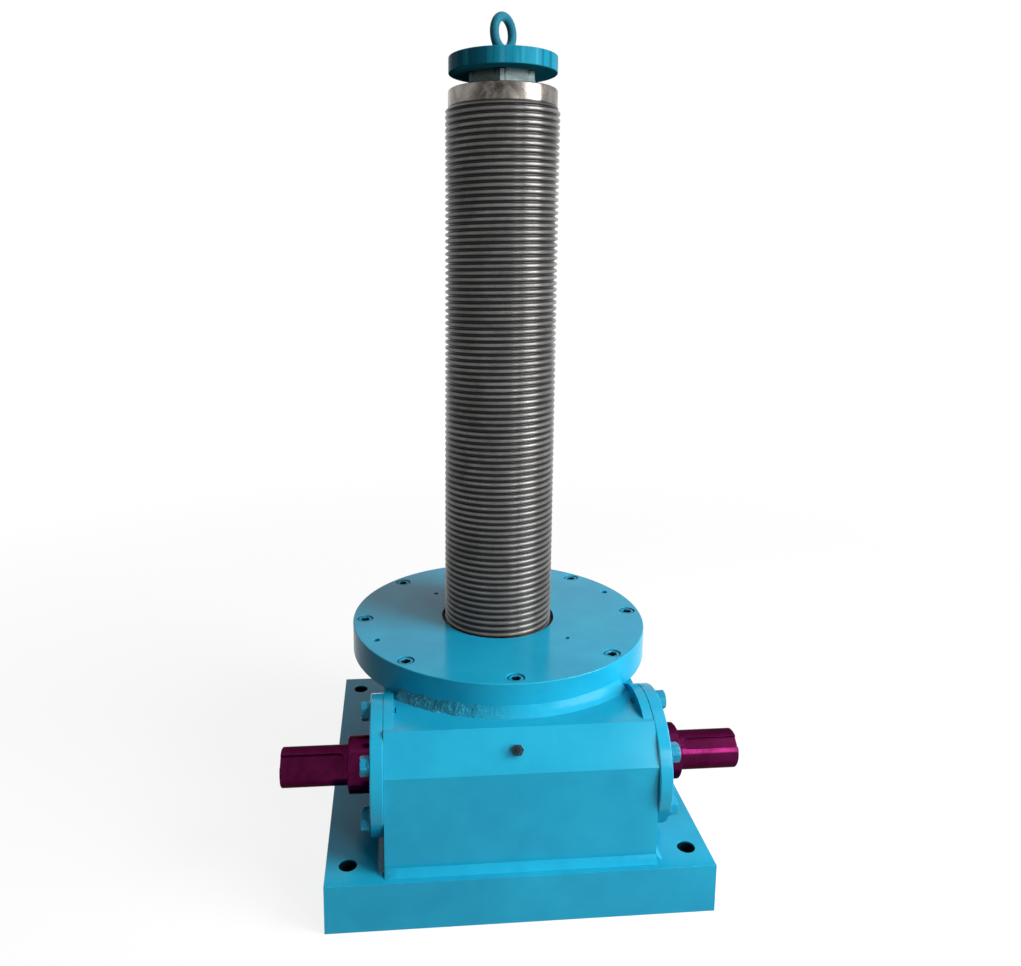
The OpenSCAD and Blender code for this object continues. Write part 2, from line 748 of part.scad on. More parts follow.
// Corner j of the rim's bore, which has n corners and a parallel keyway at the right and at the left
function bore_point(j, n) = let (
        r = (wheel_bore_r + fit_gap) / cos(180 / n),
        half_w = wheel_key_w / 2 + fit_gap,
        span = n / 2,
        turned_j = (j - n / 4 - 4 + n) % span,
        off = turned_j > span / 2 ? turned_j - span : turned_j,
        side = j > n / 4 - 10 && j < n / 2 ? 0 : 180,
        a = -90 - 180 / wheel_teeth + j * 360 / n
    ) abs(off) > 3 ? [r * cos(a), r * sin(a)]
        : turn_point(abs(off) == 3
            ? [sqrt(r * r - half_w * half_w), sign(off) * half_w]
            : [wheel_bore_r + wheel_key_h / 2 + fit_gap, off * half_w / 2], side);

// Toothed rim of the worm wheel, with a bore of flats that seats on the nut
module worm_wheel() {
    n = tooth_points * wheel_teeth;
    levels = level_steps + 1;
    zs = [for (k = [0 : level_steps]) wheel_face * (k / level_steps - 0.5)];
    outline = [for (z = zs) let (tooth = tooth_outline(z))
        for (i = [0 : wheel_teeth - 1], p = tooth) concat(turn_point(p, i * 360 / wheel_teeth), [worm_z + z])];
    bore = [for (z = [zs[0], zs[level_steps]], j = [0 : n - 1]) concat(bore_point(j, n), [worm_z + z])];
    low = levels * n;
    high = low + n;
    top = level_steps * n;
    flanks = [for (k = [0 : level_steps - 1], j = [0 : n - 1])
        let (a = k * n + j, b = k * n + (j + 1) % n) each [[a, b + n, b], [a, a + n, b + n]]];
    caps = [for (j = [0 : n - 1]) let (m = (j + 1) % n) each [
        [j, m, low + m], [j, low + m, low + j],
        [top + j, high + m, top + m], [top + j, high + j, high + m],
        [low + j, low + m, high + m], [low + j, high + m, high + j]]];
    color(bronze) polyhedron(points = concat(outline, bore), faces = concat(flanks, caps), convexity = 10);
}

module lifting_nut() {
    color(steel) difference() {
        union() {
            translate([0, 0, seat_low - nut_end_gap])
                cylinder(h = seat_high - seat_low + 2 * nut_end_gap, r = nut_journal_r, $fn = fine);
            translate([0, 0, wheel_low]) cylinder(h = wheel_face, r = wheel_bore_r, $fn = fine);
        }
        translate([0, 0, seat_low - nut_end_gap - eps])
            cylinder(h = seat_high - seat_low + 2 * nut_end_gap + 2 * eps, r = nut_bore_r, $fn = fine);
        wheel_key_block(fit_gap, eps);
    }
}

// Two key shaped blocks, made wider and deeper by grow and longer by reach at both ends
module wheel_key_block(grow, reach) {
    around(2) translate([wheel_bore_r - wheel_key_h / 2 - grow, -wheel_key_w / 2 - grow, wheel_low - reach])
        cube([wheel_key_h + grow, wheel_key_w + 2 * grow, wheel_face + 2 * reach]);
}

module wheel_keys() {
    color(dark_steel) wheel_key_block(0, 0);
}

// ---- Thrust bearings ----

washer_h = (thrust_h - thrust_ball_d) / 2 + 3.5;
ball_track_r = (nut_journal_r + thrust_r) / 2;

// Washer with a ball groove in its upper face
module washer(r_in, r_out) {
    difference() {
        tube(r_out, r_in, washer_h);
        translate([0, 0, thrust_h / 2]) rotate_extrude($fn = fine)
            translate([ball_track_r, 0]) circle(r = thrust_ball_d / 2 + roll_gap, $fn = fine);
    }
}

module housing_washer() {
    color(steel) washer(nut_journal_r + 2, thrust_r);
}

module shaft_washer() {
    color(steel) washer(nut_journal_r + fit_gap, thrust_r - 2);
}

module ball_set() {
    color(dark_steel) around(thrust_balls_n)
        translate([ball_track_r, 0, thrust_h / 2]) sphere(d = thrust_ball_d, $fn = small);
}

module bearing_seat() {
    color(paint) difference() {
        translate([0, 0, base_t])
            cylinder(h = seat_low - base_t + pocket_depth, r = thrust_r + pocket_wall, $fn = fine);
        translate([0, 0, base_t - eps])
            cylinder(h = seat_low, d = base_bore_d, $fn = fine);
        translate([0, 0, seat_low - 2 * nut_end_gap])
            cylinder(h = 2 * nut_end_gap + eps, r = nut_journal_r + nut_end_gap, $fn = fine);
        translate([0, 0, seat_low]) cylinder(h = pocket_depth + eps, r = thrust_r + fit_gap, $fn = fine);
    }
}

module flipped(z) {
    translate([0, 0, z]) mirror([0, 0, 1]) children();
}

module lower_housing_washer() { translate([0, 0, seat_low]) housing_washer(); }
module lower_balls() { translate([0, 0, seat_low]) ball_set(); }
module lower_shaft_washer() { flipped(wheel_low) shaft_washer(); }
module upper_housing_washer() { flipped(seat_high) housing_washer(); }
module upper_balls() { translate([0, 0, wheel_high]) ball_set(); }
module upper_shaft_washer() { translate([0, 0, wheel_high]) shaft_washer(); }

// ---- Lifting screw ----

// Half profile of the thread: one trapezoid groove for each pitch, from z0 up to z1
function groove_points(z0, z1) = let (
        r = screw_d / 2,
        p = thread_pitch,
        n = floor((z1 - z0) / p)
    ) [for (i = [0 : n - 1], q = [[0, 0.15], [thread_depth, 0.38], [thread_depth, 0.62], [0, 0.85]])
        [r - q[0], z0 + (i + q[1]) * p]];

seat_len = stop_ring_h;
bolt_hole_len = 34;

module lifting_screw() {
    r = screw_d / 2;
    core_r = r - thread_depth;
    thread_low = stop_top + thread_pitch;
    color(steel) difference() {
        rotate_extrude($fn = fine) polygon(concat(
            [[0, screw_low], [core_r - 2 * edge, screw_low], [core_r - 2 * edge, stop_top],
             [core_r, stop_top], [r, stop_top + thread_depth]],
            groove_points(thread_low, thread_top - thread_depth),
            [[r, thread_top - thread_depth], [core_r, thread_top], [core_r, collar_top - edge],
             [core_r - edge, collar_top], [stub_d / 2, collar_top], [stub_d / 2, plate_top - edge],
             [0, plate_top - edge]]));
        translate([0, 0, plate_top - edge - bolt_hole_len])
            cylinder(h = bolt_hole_len + eps, r = eye_thread_d / 2 + tap_gap, $fn = small);
    }
}

// Ring that stops against the nut before the screw can leave it
module stop_ring() {
    in_r = screw_d / 2 - thread_depth - 2 * edge + fit_gap;
    color(dark_steel) translate([0, 0, screw_low]) difference() {
        turned(stop_ring_r, seat_len, edge, edge);
        translate([0, 0, -eps]) cylinder(h = seat_len + 2 * eps, r = in_r, $fn = fine);
    }
}

module lock_nut() {
    color(steel) translate([0, 0, collar_top]) difference() {
        rotate([0, 0, lock_nut_angle]) cylinder(h = lock_nut_h, r = lock_nut_af / sqrt(3), $fn = 6);
        translate([0, 0, -eps]) cylinder(h = lock_nut_h + 2 * eps, r = stub_d / 2 + fit_gap, $fn = fine);
    }
}

module top_plate() {
    color(paint) translate([0, 0, plate_low]) difference() {
        turned(top_plate_d / 2, top_plate_t, edge / 2, edge / 2);
        translate([0, 0, -eps])
            cylinder(h = top_plate_t - edge + eps, r = stub_d / 2 + fit_gap, $fn = fine);
        cylinder(h = top_plate_t + eps, r = eye_thread_d / 2 + tap_gap, $fn = small);
    }
}

module eye_bolt() {
    bar_r = eye_bar_d / 2;
    ring_r = eye_d / 2 - bar_r;
    seat_r = 1.1 * eye_thread_d;
    centre_z = eye_h - eye_d / 2;
    color(paint) translate([0, 0, plate_top]) union() {
        translate([0, 0, centre_z]) rotate([90, 0, eye_angle])
            rotate_extrude($fn = fine) translate([ring_r, 0]) circle(r = bar_r, $fn = small);
        difference() {
            cylinder(h = centre_z - ring_r, r1 = seat_r, r2 = 0.75 * seat_r, $fn = small);
            translate([0, 0, centre_z]) rotate([90, 0, eye_angle])
                cylinder(h = eye_d, r = ring_r, center = true, $fn = fine);
        }
        translate([0, 0, -bolt_hole_len + 2]) cylinder(h = bolt_hole_len - 2 + eps, d = eye_thread_d, $fn = small);
    }
}

base_plate();
base_weld();
gear_drum();
worm_box();
ring_weld();
drum_weld();
flange_ring();
top_cover();
cover_screws();
guide_bush();
wiper_ring();
grease_nipple();
left_end_cover();
right_end_cover();
left_cover_bolts();
right_cover_bolts();
left_shim();
right_shim();
left_oil_seal();
right_oil_seal();
left_bearing_cup();
right_bearing_cup();
left_bearing_rollers();
right_bearing_rollers();
left_bearing_cone();
right_bearing_cone();
worm_shaft();
worm_thread();
worm_wheel();
lifting_nut();
wheel_keys();
bearing_seat();
lower_housing_washer();
lower_balls();
lower_shaft_washer();
upper_housing_washer();
upper_balls();
upper_shaft_washer();
lifting_screw();
stop_ring();
lock_nut();
top_plate();
eye_bolt();
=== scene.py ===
import json
import math

import bmesh
import bpy
from mathutils import Matrix, Vector, noise


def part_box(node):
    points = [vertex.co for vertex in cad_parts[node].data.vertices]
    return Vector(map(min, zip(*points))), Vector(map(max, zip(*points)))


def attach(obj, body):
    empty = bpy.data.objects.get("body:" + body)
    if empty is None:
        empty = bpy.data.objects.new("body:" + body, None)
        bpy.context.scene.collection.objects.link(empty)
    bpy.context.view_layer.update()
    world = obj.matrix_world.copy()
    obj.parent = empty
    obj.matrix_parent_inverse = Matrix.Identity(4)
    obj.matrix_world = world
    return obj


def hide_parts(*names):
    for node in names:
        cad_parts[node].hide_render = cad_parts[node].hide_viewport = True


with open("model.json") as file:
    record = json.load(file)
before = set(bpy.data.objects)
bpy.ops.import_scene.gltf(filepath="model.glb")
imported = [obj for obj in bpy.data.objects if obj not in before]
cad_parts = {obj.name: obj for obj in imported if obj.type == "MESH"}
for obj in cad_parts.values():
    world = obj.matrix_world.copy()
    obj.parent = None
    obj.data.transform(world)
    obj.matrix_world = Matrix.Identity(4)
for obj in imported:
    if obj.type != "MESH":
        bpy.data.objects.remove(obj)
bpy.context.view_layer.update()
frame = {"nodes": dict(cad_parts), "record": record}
nodes = frame["nodes"]
print("frame loaded:", len(nodes), "nodes")


def nodeBox(name):
    low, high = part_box(name)
    return Vector(low), Vector(high)


def addObject(name, data):
    made = bpy.data.objects.new(name, data)
    bpy.context.scene.collection.objects.link(made)
    return made


def evaluatedMesh(holder):                 # the plain mesh that an object's modifiers give
    evaluated = holder.evaluated_get(bpy.context.evaluated_depsgraph_get())
    return bpy.data.meshes.new_from_object(evaluated)


def tidyMesh(mesh, smoothAngle=35, merge=1e-6):
    bm = bmesh.new()
    bm.from_mesh(mesh)
    bmesh.ops.remove_doubles(bm, verts=bm.verts, dist=merge)
    bmesh.ops.dissolve_degenerate(bm, edges=bm.edges, dist=1e-7)
    bmesh.ops.recalc_face_normals(bm, faces=bm.faces)
    bm.to_mesh(mesh)
    bm.free()
    mesh.shade_smooth()
    mesh.set_sharp_from_angle(angle=math.radians(smoothAngle))


def makePiece(name, mesh, material, body, replaced=()):
    mesh.materials.clear()
    mesh.materials.append(material)
    mesh.polygons.foreach_set("material_index", [0] * len(mesh.polygons))
    piece = addObject(name, mesh)
    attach(piece, body)
    if replaced:
        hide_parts(*replaced)
    return piece


def secondFinish(piece, material, chosen):      # gives some faces of a piece another finish
    piece.data.materials.append(material)
    for face in piece.data.polygons:
        if chosen(face):
            face.material_index = len(piece.data.materials) - 1


def meshFrom(name, verts, faces, smoothAngle=35):
    mesh = bpy.data.meshes.new(name)
    mesh.from_pydata([tuple(v) for v in verts], [], faces)
    tidyMesh(mesh, smoothAngle)
    return mesh


def circlePoints(radius, height, segments, turn=0.0):
    points = []
    for k in range(segments):
        a = 2 * math.pi * k / segments + turn
        points.append((radius * math.cos(a), radius * math.sin(a), height))
    return points


def hexPoints(acrossFlats, height, segments, turn=0.0, limit=math.inf):     # no corner goes past the limit
    points = []
    for k in range(segments):
        a = 2 * math.pi * k / segments
        fromFlat = (a % (math.pi / 3)) - math.pi / 6
        r = min(acrossFlats / 2 / math.cos(fromFlat), limit)
        points.append((r * math.cos(a + turn), r * math.sin(a + turn), height))
    return points


def loopsOf(count, across):                # the numbers of vertices that were made row by row
    return [list(range(i, i + across)) for i in range(0, count, across)]


def wallFaces(loops):                      # a wall of quads from the first loop to the last
    faces = []
    for low, high in zip(loops, loops[1:]):
        for k in range(len(low)):
            m = (k + 1) % len(low)
            faces.append([low[k], low[m], high[m], high[k]])
    return faces


def turnedLists(profile, segments=96):     # profile is (radius, height) from one end to the other
    verts, faces, rings = [], [], []
    for radius, height in profile:
        if radius < 1e-7:
            rings.append([len(verts)] * segments)
            verts.append((0, 0, height))
        else:
            rings.append(list(range(len(verts), len(verts) + segments)))
            verts += circlePoints(radius, height, segments)
    for quad in wallFaces(rings):          # at a pole a quad shrinks to a triangle
        face = [v for i, v in enumerate(quad) if v != quad[i - 1]]
        if len(face) > 2:
            faces.append(face)
    return verts, faces


def hexLists(acrossFlats, height, chamfer, turn=0.0, segments=72, bothEnds=True, boreRadius=0.0):
    corner = acrossFlats / math.sqrt(3)
    tipRadius = corner - chamfer * 1.2
    bevel = chamfer * 0.55
    levels = [(0.0, tipRadius if bothEnds else corner), (bevel, corner),
              (height - bevel, corner), (height, tipRadius)]
    verts = []
    for z, limit in levels:
        verts += hexPoints(acrossFlats, z, segments, turn, limit)
    if boreRadius:
        for z in (height, 0.0):
            verts += circlePoints(boreRadius, z, segments, turn)
    loops = loopsOf(len(verts), segments)
    if boreRadius:
        return verts, wallFaces(loops + [loops[0]])
    return verts, wallFaces(loops) + [loops[0][::-1], loops[-1]]


def joinLists(*parts):
    verts, faces = [], []
    for partVerts, partFaces in parts:
        base = len(verts)
        verts += [tuple(v) for v in partVerts]
        faces += [[i + base for i in face] for face in partFaces]
    return verts, faces


def moved(lists, matrix):
    return [matrix @ Vector(v) for v in lists[0]], lists[1]


def roundedMesh(nodeName, width, segments=3, angle=30, seam=None):     # a CAD node with rounded edges
    bm = bmesh.new()
    bm.from_mesh(nodes[nodeName].data)
    bmesh.ops.remove_doubles(bm, verts=bm.verts, dist=2e-6)
    bmesh.ops.dissolve_limit(bm, angle_limit=math.radians(0.4), verts=bm.verts, edges=bm.edges)
    weights = bm.edges.layers.float.new("bevel_weight_edge")
    for edge in bm.edges:
        inSeam = seam is not None and all(abs(v.co.z - seam) < 1e-5 for v in edge.verts)
        sharp = len(edge.link_faces) == 2 and edge.calc_face_angle(0) > math.radians(angle)
        edge[weights] = 1.0 if sharp and not inSeam else 0.0
    mesh = bpy.data.meshes.new(nodeName + "Rounded")
    bm.to_mesh(mesh)
    bm.free()
    mesh.shade_smooth()
    holder = addObject("roundingHolder", mesh)
    bevel = holder.modifiers.new("edges", "BEVEL")
    bevel.width = width
    bevel.segments = segments
    bevel.limit_method = "WEIGHT"
    bevel.miter_outer = "MITER_ARC"
    rounded = evaluatedMesh(holder)
    holder.modifiers.clear()
    rounded.set_sharp_from_angle(angle=math.radians(38))
    holder.data = rounded
    even = holder.modifiers.new("evenNormals", "WEIGHTED_NORMAL")
    even.keep_sharp = True
    even.weight = 100
    result = evaluatedMesh(holder)
    bpy.data.objects.remove(holder)
    return result


def newTree(name, inputs):
    tree = bpy.data.node_groups.new(name, "GeometryNodeTree")
    for label, kind in inputs:
        tree.interface.new_socket(label, in_out="INPUT", socket_type="NodeSocket" + kind)
    tree.interface.new_socket("Geometry", in_out="OUTPUT", socket_type="NodeSocketGeometry")
    return tree, tree.nodes.new("NodeGroupInput"), tree.nodes.new("NodeGroupOutput")


def setSocket(tree, socket, value):        # links another node's output, or writes a constant
    if isinstance(value, bpy.types.NodeSocket):
        tree.links.new(value, socket)
    else:
        socket.default_value = value


def treeNode(tree, kind, inputs=(), **settings):
    node = tree.nodes.new(kind)
    for key, value in settings.items():
        setattr(node, key, value)
    for key, value in dict(inputs).items():
        setSocket(tree, node.inputs[key], value)
    return node


def calc(tree, operation, *values):
    node = treeNode(tree, "ShaderNodeMath", operation=operation)
    for socket, value in zip(node.inputs, values):
        setSocket(tree, socket, value)
    return node.outputs[0]


def radiusOf(tree, x, y):                  # distance from the Z axis
    squares = [calc(tree, "POWER", value, 2.0) for value in (x, y)]
    return calc(tree, "SQRT", calc(tree, "ADD", *squares))


def finishTree(tree, out, geometry, material):
    real = treeNode(tree, "GeometryNodeRealizeInstances", {"Geometry": geometry})
    finish = treeNode(tree, "GeometryNodeSetMaterial", {"Geometry": real.outputs[0], "Material": material})
    tree.links.new(finish.outputs[0], out.inputs["Geometry"])


def grownMesh(tree, values, name):         # evaluates a tree once and returns the plain mesh
    holder = addObject(name + "Holder", bpy.data.meshes.new(name + "Start"))
    modifier = holder.modifiers.new("grow", "NODES")
    modifier.node_group = tree
    for item in tree.interface.items_tree:
        if item.item_type == "SOCKET" and item.in_out == "INPUT" and item.name in values:
            modifier[item.identifier] = values[item.name]
    mesh = evaluatedMesh(holder)
    holder.modifiers.remove(modifier)
    bpy.data.objects.remove(holder)
    mesh.name = name
    return mesh


def ringOfPiecesTree():                    # copies one small mesh to points on a circle
    tree, given, out = newTree("ringOfPieces", [("Piece", "Object"), ("Count", "Int"), ("Radius", "Float"),
                                                ("First Angle", "Float"), ("Height", "Float"),
                                                ("Twist", "Float"), ("Finish", "Material")])
    circle = treeNode(tree, "GeometryNodeMeshCircle",
                      {"Vertices": given.outputs["Count"], "Radius": given.outputs["Radius"]})
    lift = treeNode(tree, "ShaderNodeCombineXYZ", {"Z": given.outputs["Height"]})
    turn = treeNode(tree, "ShaderNodeCombineXYZ", {"Z": given.outputs["First Angle"]})
    place = treeNode(tree, "GeometryNodeTransform",
                     {"Geometry": circle.outputs["Mesh"], "Translation": lift.outputs[0],
                      "Rotation": turn.outputs[0]})
    piece = treeNode(tree, "GeometryNodeObjectInfo", {"Object": given.outputs["Piece"]})
    index = treeNode(tree, "GeometryNodeInputIndex")
    spin = calc(tree, "MULTIPLY", index.outputs[0], given.outputs["Twist"])
    spinVector = treeNode(tree, "ShaderNodeCombineXYZ", {"Z": spin})
    copies = treeNode(tree, "GeometryNodeInstanceOnPoints",
                      {"Points": place.outputs[0], "Instance": piece.outputs["Geometry"],
                       "Rotation": spinVector.outputs[0]})
    finishTree(tree, out, copies.outputs[0], given.outputs["Finish"])
    return tree


ringTree = ringOfPiecesTree()


def ringOfPieces(name, lists, look, firstAngle, height, material, matrix=None, smoothAngle=30):
    single = addObject(name + "One", meshFrom(name + "One", *lists, smoothAngle))
    grown = grownMesh(ringTree, {"Piece": single, "Count": look["count"], "Radius": look["circle"],
                                 "First Angle": firstAngle, "Height": height, "Twist": look["twist"],
                                 "Finish": material}, name)
    bpy.data.objects.remove(single)
    if matrix is not None:
        grown.transform(matrix)
        if matrix.determinant() < 0:
            grown.flip_normals()
    grown.shade_smooth()
    grown.set_sharp_from_angle(angle=math.radians(smoothAngle))
    return grown


def shaderGroup(name, inputs, outputs):
    group = bpy.data.node_groups.new(name, "ShaderNodeTree")
    for label, kind, value in inputs:
        socket = group.interface.new_socket(label, in_out="INPUT", socket_type="NodeSocket" + kind)
        socket.default_value = value
    for label, kind in outputs:
        group.interface.new_socket(label, in_out="OUTPUT", socket_type="NodeSocket" + kind)
    return group, group.nodes.new("NodeGroupInput"), group.nodes.new("NodeGroupOutput")


def noiseOf(tree, vector, scale, detail=3.0, roughness=0.5, distortion=0.0):
    node = treeNode(tree, "ShaderNodeTexNoise", {"Vector": vector, "Scale": scale, "Detail": detail,
                                                 "Roughness": roughness, "Distortion": distortion})
    return node.outputs["Fac"]


def rangeOf(tree, value, fromLow, fromHigh, toLow, toHigh):
    node = treeNode(tree, "ShaderNodeMapRange", {"Value": value, "From Min": fromLow, "From Max": fromHigh,
                                                 "To Min": toLow, "To Max": toHigh})
    return node.outputs[0]


def mixColours(tree, factor, first, second):
    node = treeNode(tree, "ShaderNodeMix", data_type="RGBA")
    for index, value in ((0, factor), (6, first), (7, second)):     # the sockets of its colour mode
        setSocket(tree, node.inputs[index], value)
    return node.outputs[2]


def objectPoint(tree):
    return treeNode(tree, "ShaderNodeTexCoord").outputs["Object"]


def objectPlace(tree):                     # its X, Y and Z
    return treeNode(tree, "ShaderNodeSeparateXYZ", {"Vector": objectPoint(tree)}).outputs


def brushedPaintGroup():                   # sags, orange peel and a little dust in thick gloss paint
    group, given, out = shaderGroup("brushedPaint",
                                    [("Peel Scale", "Float", 260.0), ("Sag Scale", "Float", 14.0),
                                     ("Dust", "Float", 0.3)],
                                    [("Shade", "Float"), ("Roughness Shift", "Float"), ("Height", "Float")])
    place = objectPoint(group)
    peel = noiseOf(group, place, given.outputs["Peel Scale"], 2.0)
    sag = noiseOf(group, place, given.outputs["Sag Scale"], 3.0, 0.55, 0.4)
    cloud = noiseOf(group, place, 5.0, 4.0, 0.6)
    speck = noiseOf(group, place, 900.0, 1.0)
    dust = calc(group, "MULTIPLY", rangeOf(group, speck, 0.64, 0.72, 0.0, 1.0), given.outputs["Dust"])
    shade = calc(group, "ADD", calc(group, "MULTIPLY", sag, 0.5), calc(group, "MULTIPLY", cloud, 0.5))
    group.links.new(shade, out.inputs["Shade"])
    uneven = calc(group, "MULTIPLY", calc(group, "SUBTRACT", cloud, 0.5), 0.16)
    rough = calc(group, "ADD", uneven, calc(group, "MULTIPLY", dust, 0.3))
    group.links.new(rough, out.inputs["Roughness Shift"])
    height = calc(group, "ADD", calc(group, "MULTIPLY", peel, 0.25), sag)
    group.links.new(height, out.inputs["Height"])
    return group


def turningMarksGroup():                   # fine grooves left by a lathe, round the Z or the X axis
    group, given, out = shaderGroup("turningMarks",
                                    [("Along X", "Float", 0.0), ("Mark Scale", "Float", 900.0),
                                     ("Stain Scale", "Float", 18.0)],
                                    [("Mark", "Float"), ("Stain", "Float")])
    x, y, z = objectPlace(group)
    alongZ = calc(group, "MULTIPLY", z, calc(group, "SUBTRACT", 1.0, given.outputs["Along X"]))
    along = calc(group, "ADD", calc(group, "MULTIPLY", x, given.outputs["Along X"]), alongZ)
    across = calc(group, "MULTIPLY", radiusOf(group, x, y), 0.6)
    line = treeNode(group, "ShaderNodeCombineXYZ", {"X": along, "Y": across})
    marks = noiseOf(group, line.outputs[0], given.outputs["Mark Scale"], 4.0, 0.7)
    stain = noiseOf(group, objectPoint(group), given.outputs["Stain Scale"], 5.0, 0.65, 0.8)
    group.links.new(marks, out.inputs["Mark"])
    group.links.new(stain, out.inputs["Stain"])
    return group


def grainGroup():                          # rough, granular surface for welds and seals
    group, given, out = shaderGroup("roughGrain", [("Grain Scale", "Float", 420.0)],
                                    [("Grain", "Float"), ("Spatter", "Float")])
    place = objectPoint(group)
    group.links.new(noiseOf(group, place, given.outputs["Grain Scale"], 5.0, 0.7), out.inputs["Grain"])
    cells = treeNode(group, "ShaderNodeTexVoronoi", {"Vector": place, "Scale": 240.0})
    group.links.new(rangeOf(group, cells.outputs["Distance"], 0.0, 0.35, 1.0, 0.0), out.inputs["Spatter"])
    return group


paintGroup = brushedPaintGroup()
turningGroup = turningMarksGroup()
roughGroup = grainGroup()


def newMaterial(name, **constants):
    material = bpy.data.materials.new(name)
    material.use_nodes = True
    shader = shaderOf(material)
    for key, value in constants.items():
        shader.inputs[key.replace("_", " ")].default_value = value
    return material, material.node_tree, shader


def shaderOf(material):
    return material.node_tree.nodes["Principled BSDF"]


def placeGroup(tree, group, **values):
    node = treeNode(tree, "ShaderNodeGroup", node_tree=group)
    for key, value in values.items():
        node.inputs[key.replace("_", " ")].default_value = value
    return node


def addBump(tree, shader, height, strength, distance):
    bump = treeNode(tree, "ShaderNodeBump", {"Height": height, "Strength": strength, "Distance": distance})
    tree.links.new(bump.outputs[0], shader.inputs["Normal"])


def twoTone(tree, factor, dark, light):
    return mixColours(tree, factor, dark + (1,), light + (1,))


def tintWhere(material, mask, tint):       # mixes another colour in by a mask from 0 to 1
    tree = material.node_tree
    baseColour = shaderOf(material).inputs["Base Color"]
    tree.links.new(mixColours(tree, mask, baseColour.links[0].from_socket, tint + (1,)), baseColour)


def glossPaint(name, dark, light, roughness=0.2, bump=0.12, grain=0.0, gloss=0.16):
    material, tree, shader = newMaterial(name, Specular_IOR_Level=gloss, IOR=1.5)
    thick = placeGroup(tree, paintGroup)
    colour = twoTone(tree, rangeOf(tree, thick.outputs["Shade"], 0.35, 0.65, 0.0, 1.0), dark, light)
    tree.links.new(colour, shader.inputs["Base Color"])
    tree.links.new(calc(tree, "ADD", thick.outputs["Roughness Shift"], roughness), shader.inputs["Roughness"])
    height = thick.outputs["Height"]
    if grain:
        rough = placeGroup(tree, roughGroup)
        lumps = calc(tree, "ADD", rough.outputs["Grain"], rough.outputs["Spatter"])
        height = calc(tree, "ADD", height, calc(tree, "MULTIPLY", lumps, grain))
    addBump(tree, shader, height, bump, 0.001)
    return material


def turnedMetal(name, dark, light, roughness=0.3, alongX=0.0, stain=0.5, metallic=1.0, bump=0.15, gloss=0.5):
    material, tree, shader = newMaterial(name, Metallic=metallic, Specular_IOR_Level=gloss)
    marks = placeGroup(tree, turningGroup, Along_X=alongX)
    stained = calc(tree, "MULTIPLY", marks.outputs["Stain"], stain)
    blend = calc(tree, "ADD", stained, calc(tree, "MULTIPLY", marks.outputs["Mark"], 1.0 - stain))
    colour = twoTone(tree, rangeOf(tree, blend, 0.36, 0.64, 0.0, 1.0), dark, light)
    tree.links.new(colour, shader.inputs["Base Color"])
    rough = rangeOf(tree, blend, 0.3, 0.7, roughness + 0.1, roughness - 0.06)
    tree.links.new(rough, shader.inputs["Roughness"])
    addBump(tree, shader, marks.outputs["Mark"], bump, 0.0003)
    return material


paintColours = {"shade": (0.004, 0.15, 0.24), "deep": (0.006, 0.245, 0.4), "pale": (0.011, 0.305, 0.47)}
teal = (paintColours["deep"], paintColours["pale"])
deepTeal = (paintColours["shade"], paintColours["deep"])
plateTeal = ((0.005, 0.135, 0.21), (0.009, 0.185, 0.275))
tealPaint = glossPaint("tealPaint", *teal, 0.17)
basePaint = glossPaint("basePaint", *teal, 0.17)
coverPaint = glossPaint("coverPaint", *teal, 0.17)
rimPaint = glossPaint("rimPaint", *teal, 0.2, gloss=0.04)
wallPaint = glossPaint("wallPaint", *teal, 0.4, gloss=0.0)
weldPaint = glossPaint("weldPaint", *teal, 0.14, bump=0.25, grain=0.25, gloss=0.25)
footWeldPaint = glossPaint("footWeldPaint", *teal, 0.14, bump=0.25, grain=0.25, gloss=0.06)
roughWeldPaint = glossPaint("roughWeldPaint", *teal, 0.2, bump=0.35, grain=0.4, gloss=0.08)
boltPaint = glossPaint("boltPaint", *deepTeal, 0.24)
socketPaint = glossPaint("socketPaint", *deepTeal, 0.24)
innerPaint = glossPaint("innerPaint", *deepTeal, 0.35)
platePaint = glossPaint("platePaint", *plateTeal, 0.22, gloss=0.015)
plateRimPaint = glossPaint("plateRimPaint", *plateTeal, 0.22, gloss=0.015)
# painted shade: a darker, dull paint for the downward faces of the top plate
dullShadedPaint = glossPaint("dullShadedPaint", (0.006, 0.1, 0.145), (0.01, 0.15, 0.21), 0.4, gloss=0.0)
eyePaint = glossPaint("eyePaint", (0.01, 0.095, 0.14), (0.018, 0.145, 0.2), 0.25, gloss=0.03)
threadSteel = turnedMetal("threadSteel", (0.08, 0.078, 0.076), (0.175, 0.172, 0.168), 0.34,
                          stain=0.6, metallic=0.55, gloss=0.2)
collarSteel = turnedMetal("collarSteel", (0.045, 0.039, 0.034), (0.3, 0.28, 0.255), 0.26,
                          stain=0.85, bump=0.3)
nutSteel = turnedMetal("nutSteel", (0.016, 0.021, 0.021), (0.055, 0.073, 0.073), 0.3, stain=0.6)
nippleSteel = turnedMetal("nippleSteel", (0.012, 0.018, 0.022), (0.05, 0.07, 0.08), 0.2, stain=0.6)
innerSteel = turnedMetal("innerSteel", (0.4, 0.4, 0.4), (0.62, 0.62, 0.61), 0.28)
bearingSteel = turnedMetal("bearingSteel", (0.55, 0.55, 0.55), (0.72, 0.72, 0.72), 0.16)
gearBronze = turnedMetal("gearBronze", (0.45, 0.27, 0.1), (0.68, 0.44, 0.19), 0.32)
shaftLacquer = turnedMetal("shaftLacquer", (0.034, 0.0022, 0.015), (0.095, 0.0066, 0.047), 0.18,
                           alongX=1.0, metallic=0.75, bump=0.1, gloss=0.1)

for turned, amount in ((threadSteel, 0.85), (collarSteel, 0.6)):     # turning marks spread the highlights
    shaderOf(turned).inputs["Anisotropic"].default_value = amount
    shaderOf(turned).inputs["Anisotropic Rotation"].default_value = 0.25
shaderOf(shaftLacquer).inputs["IOR"].default_value = 1.2
shaderOf(shaftLacquer).inputs["Specular Tint"].default_value = (0.3, 0.1, 0.2, 1)


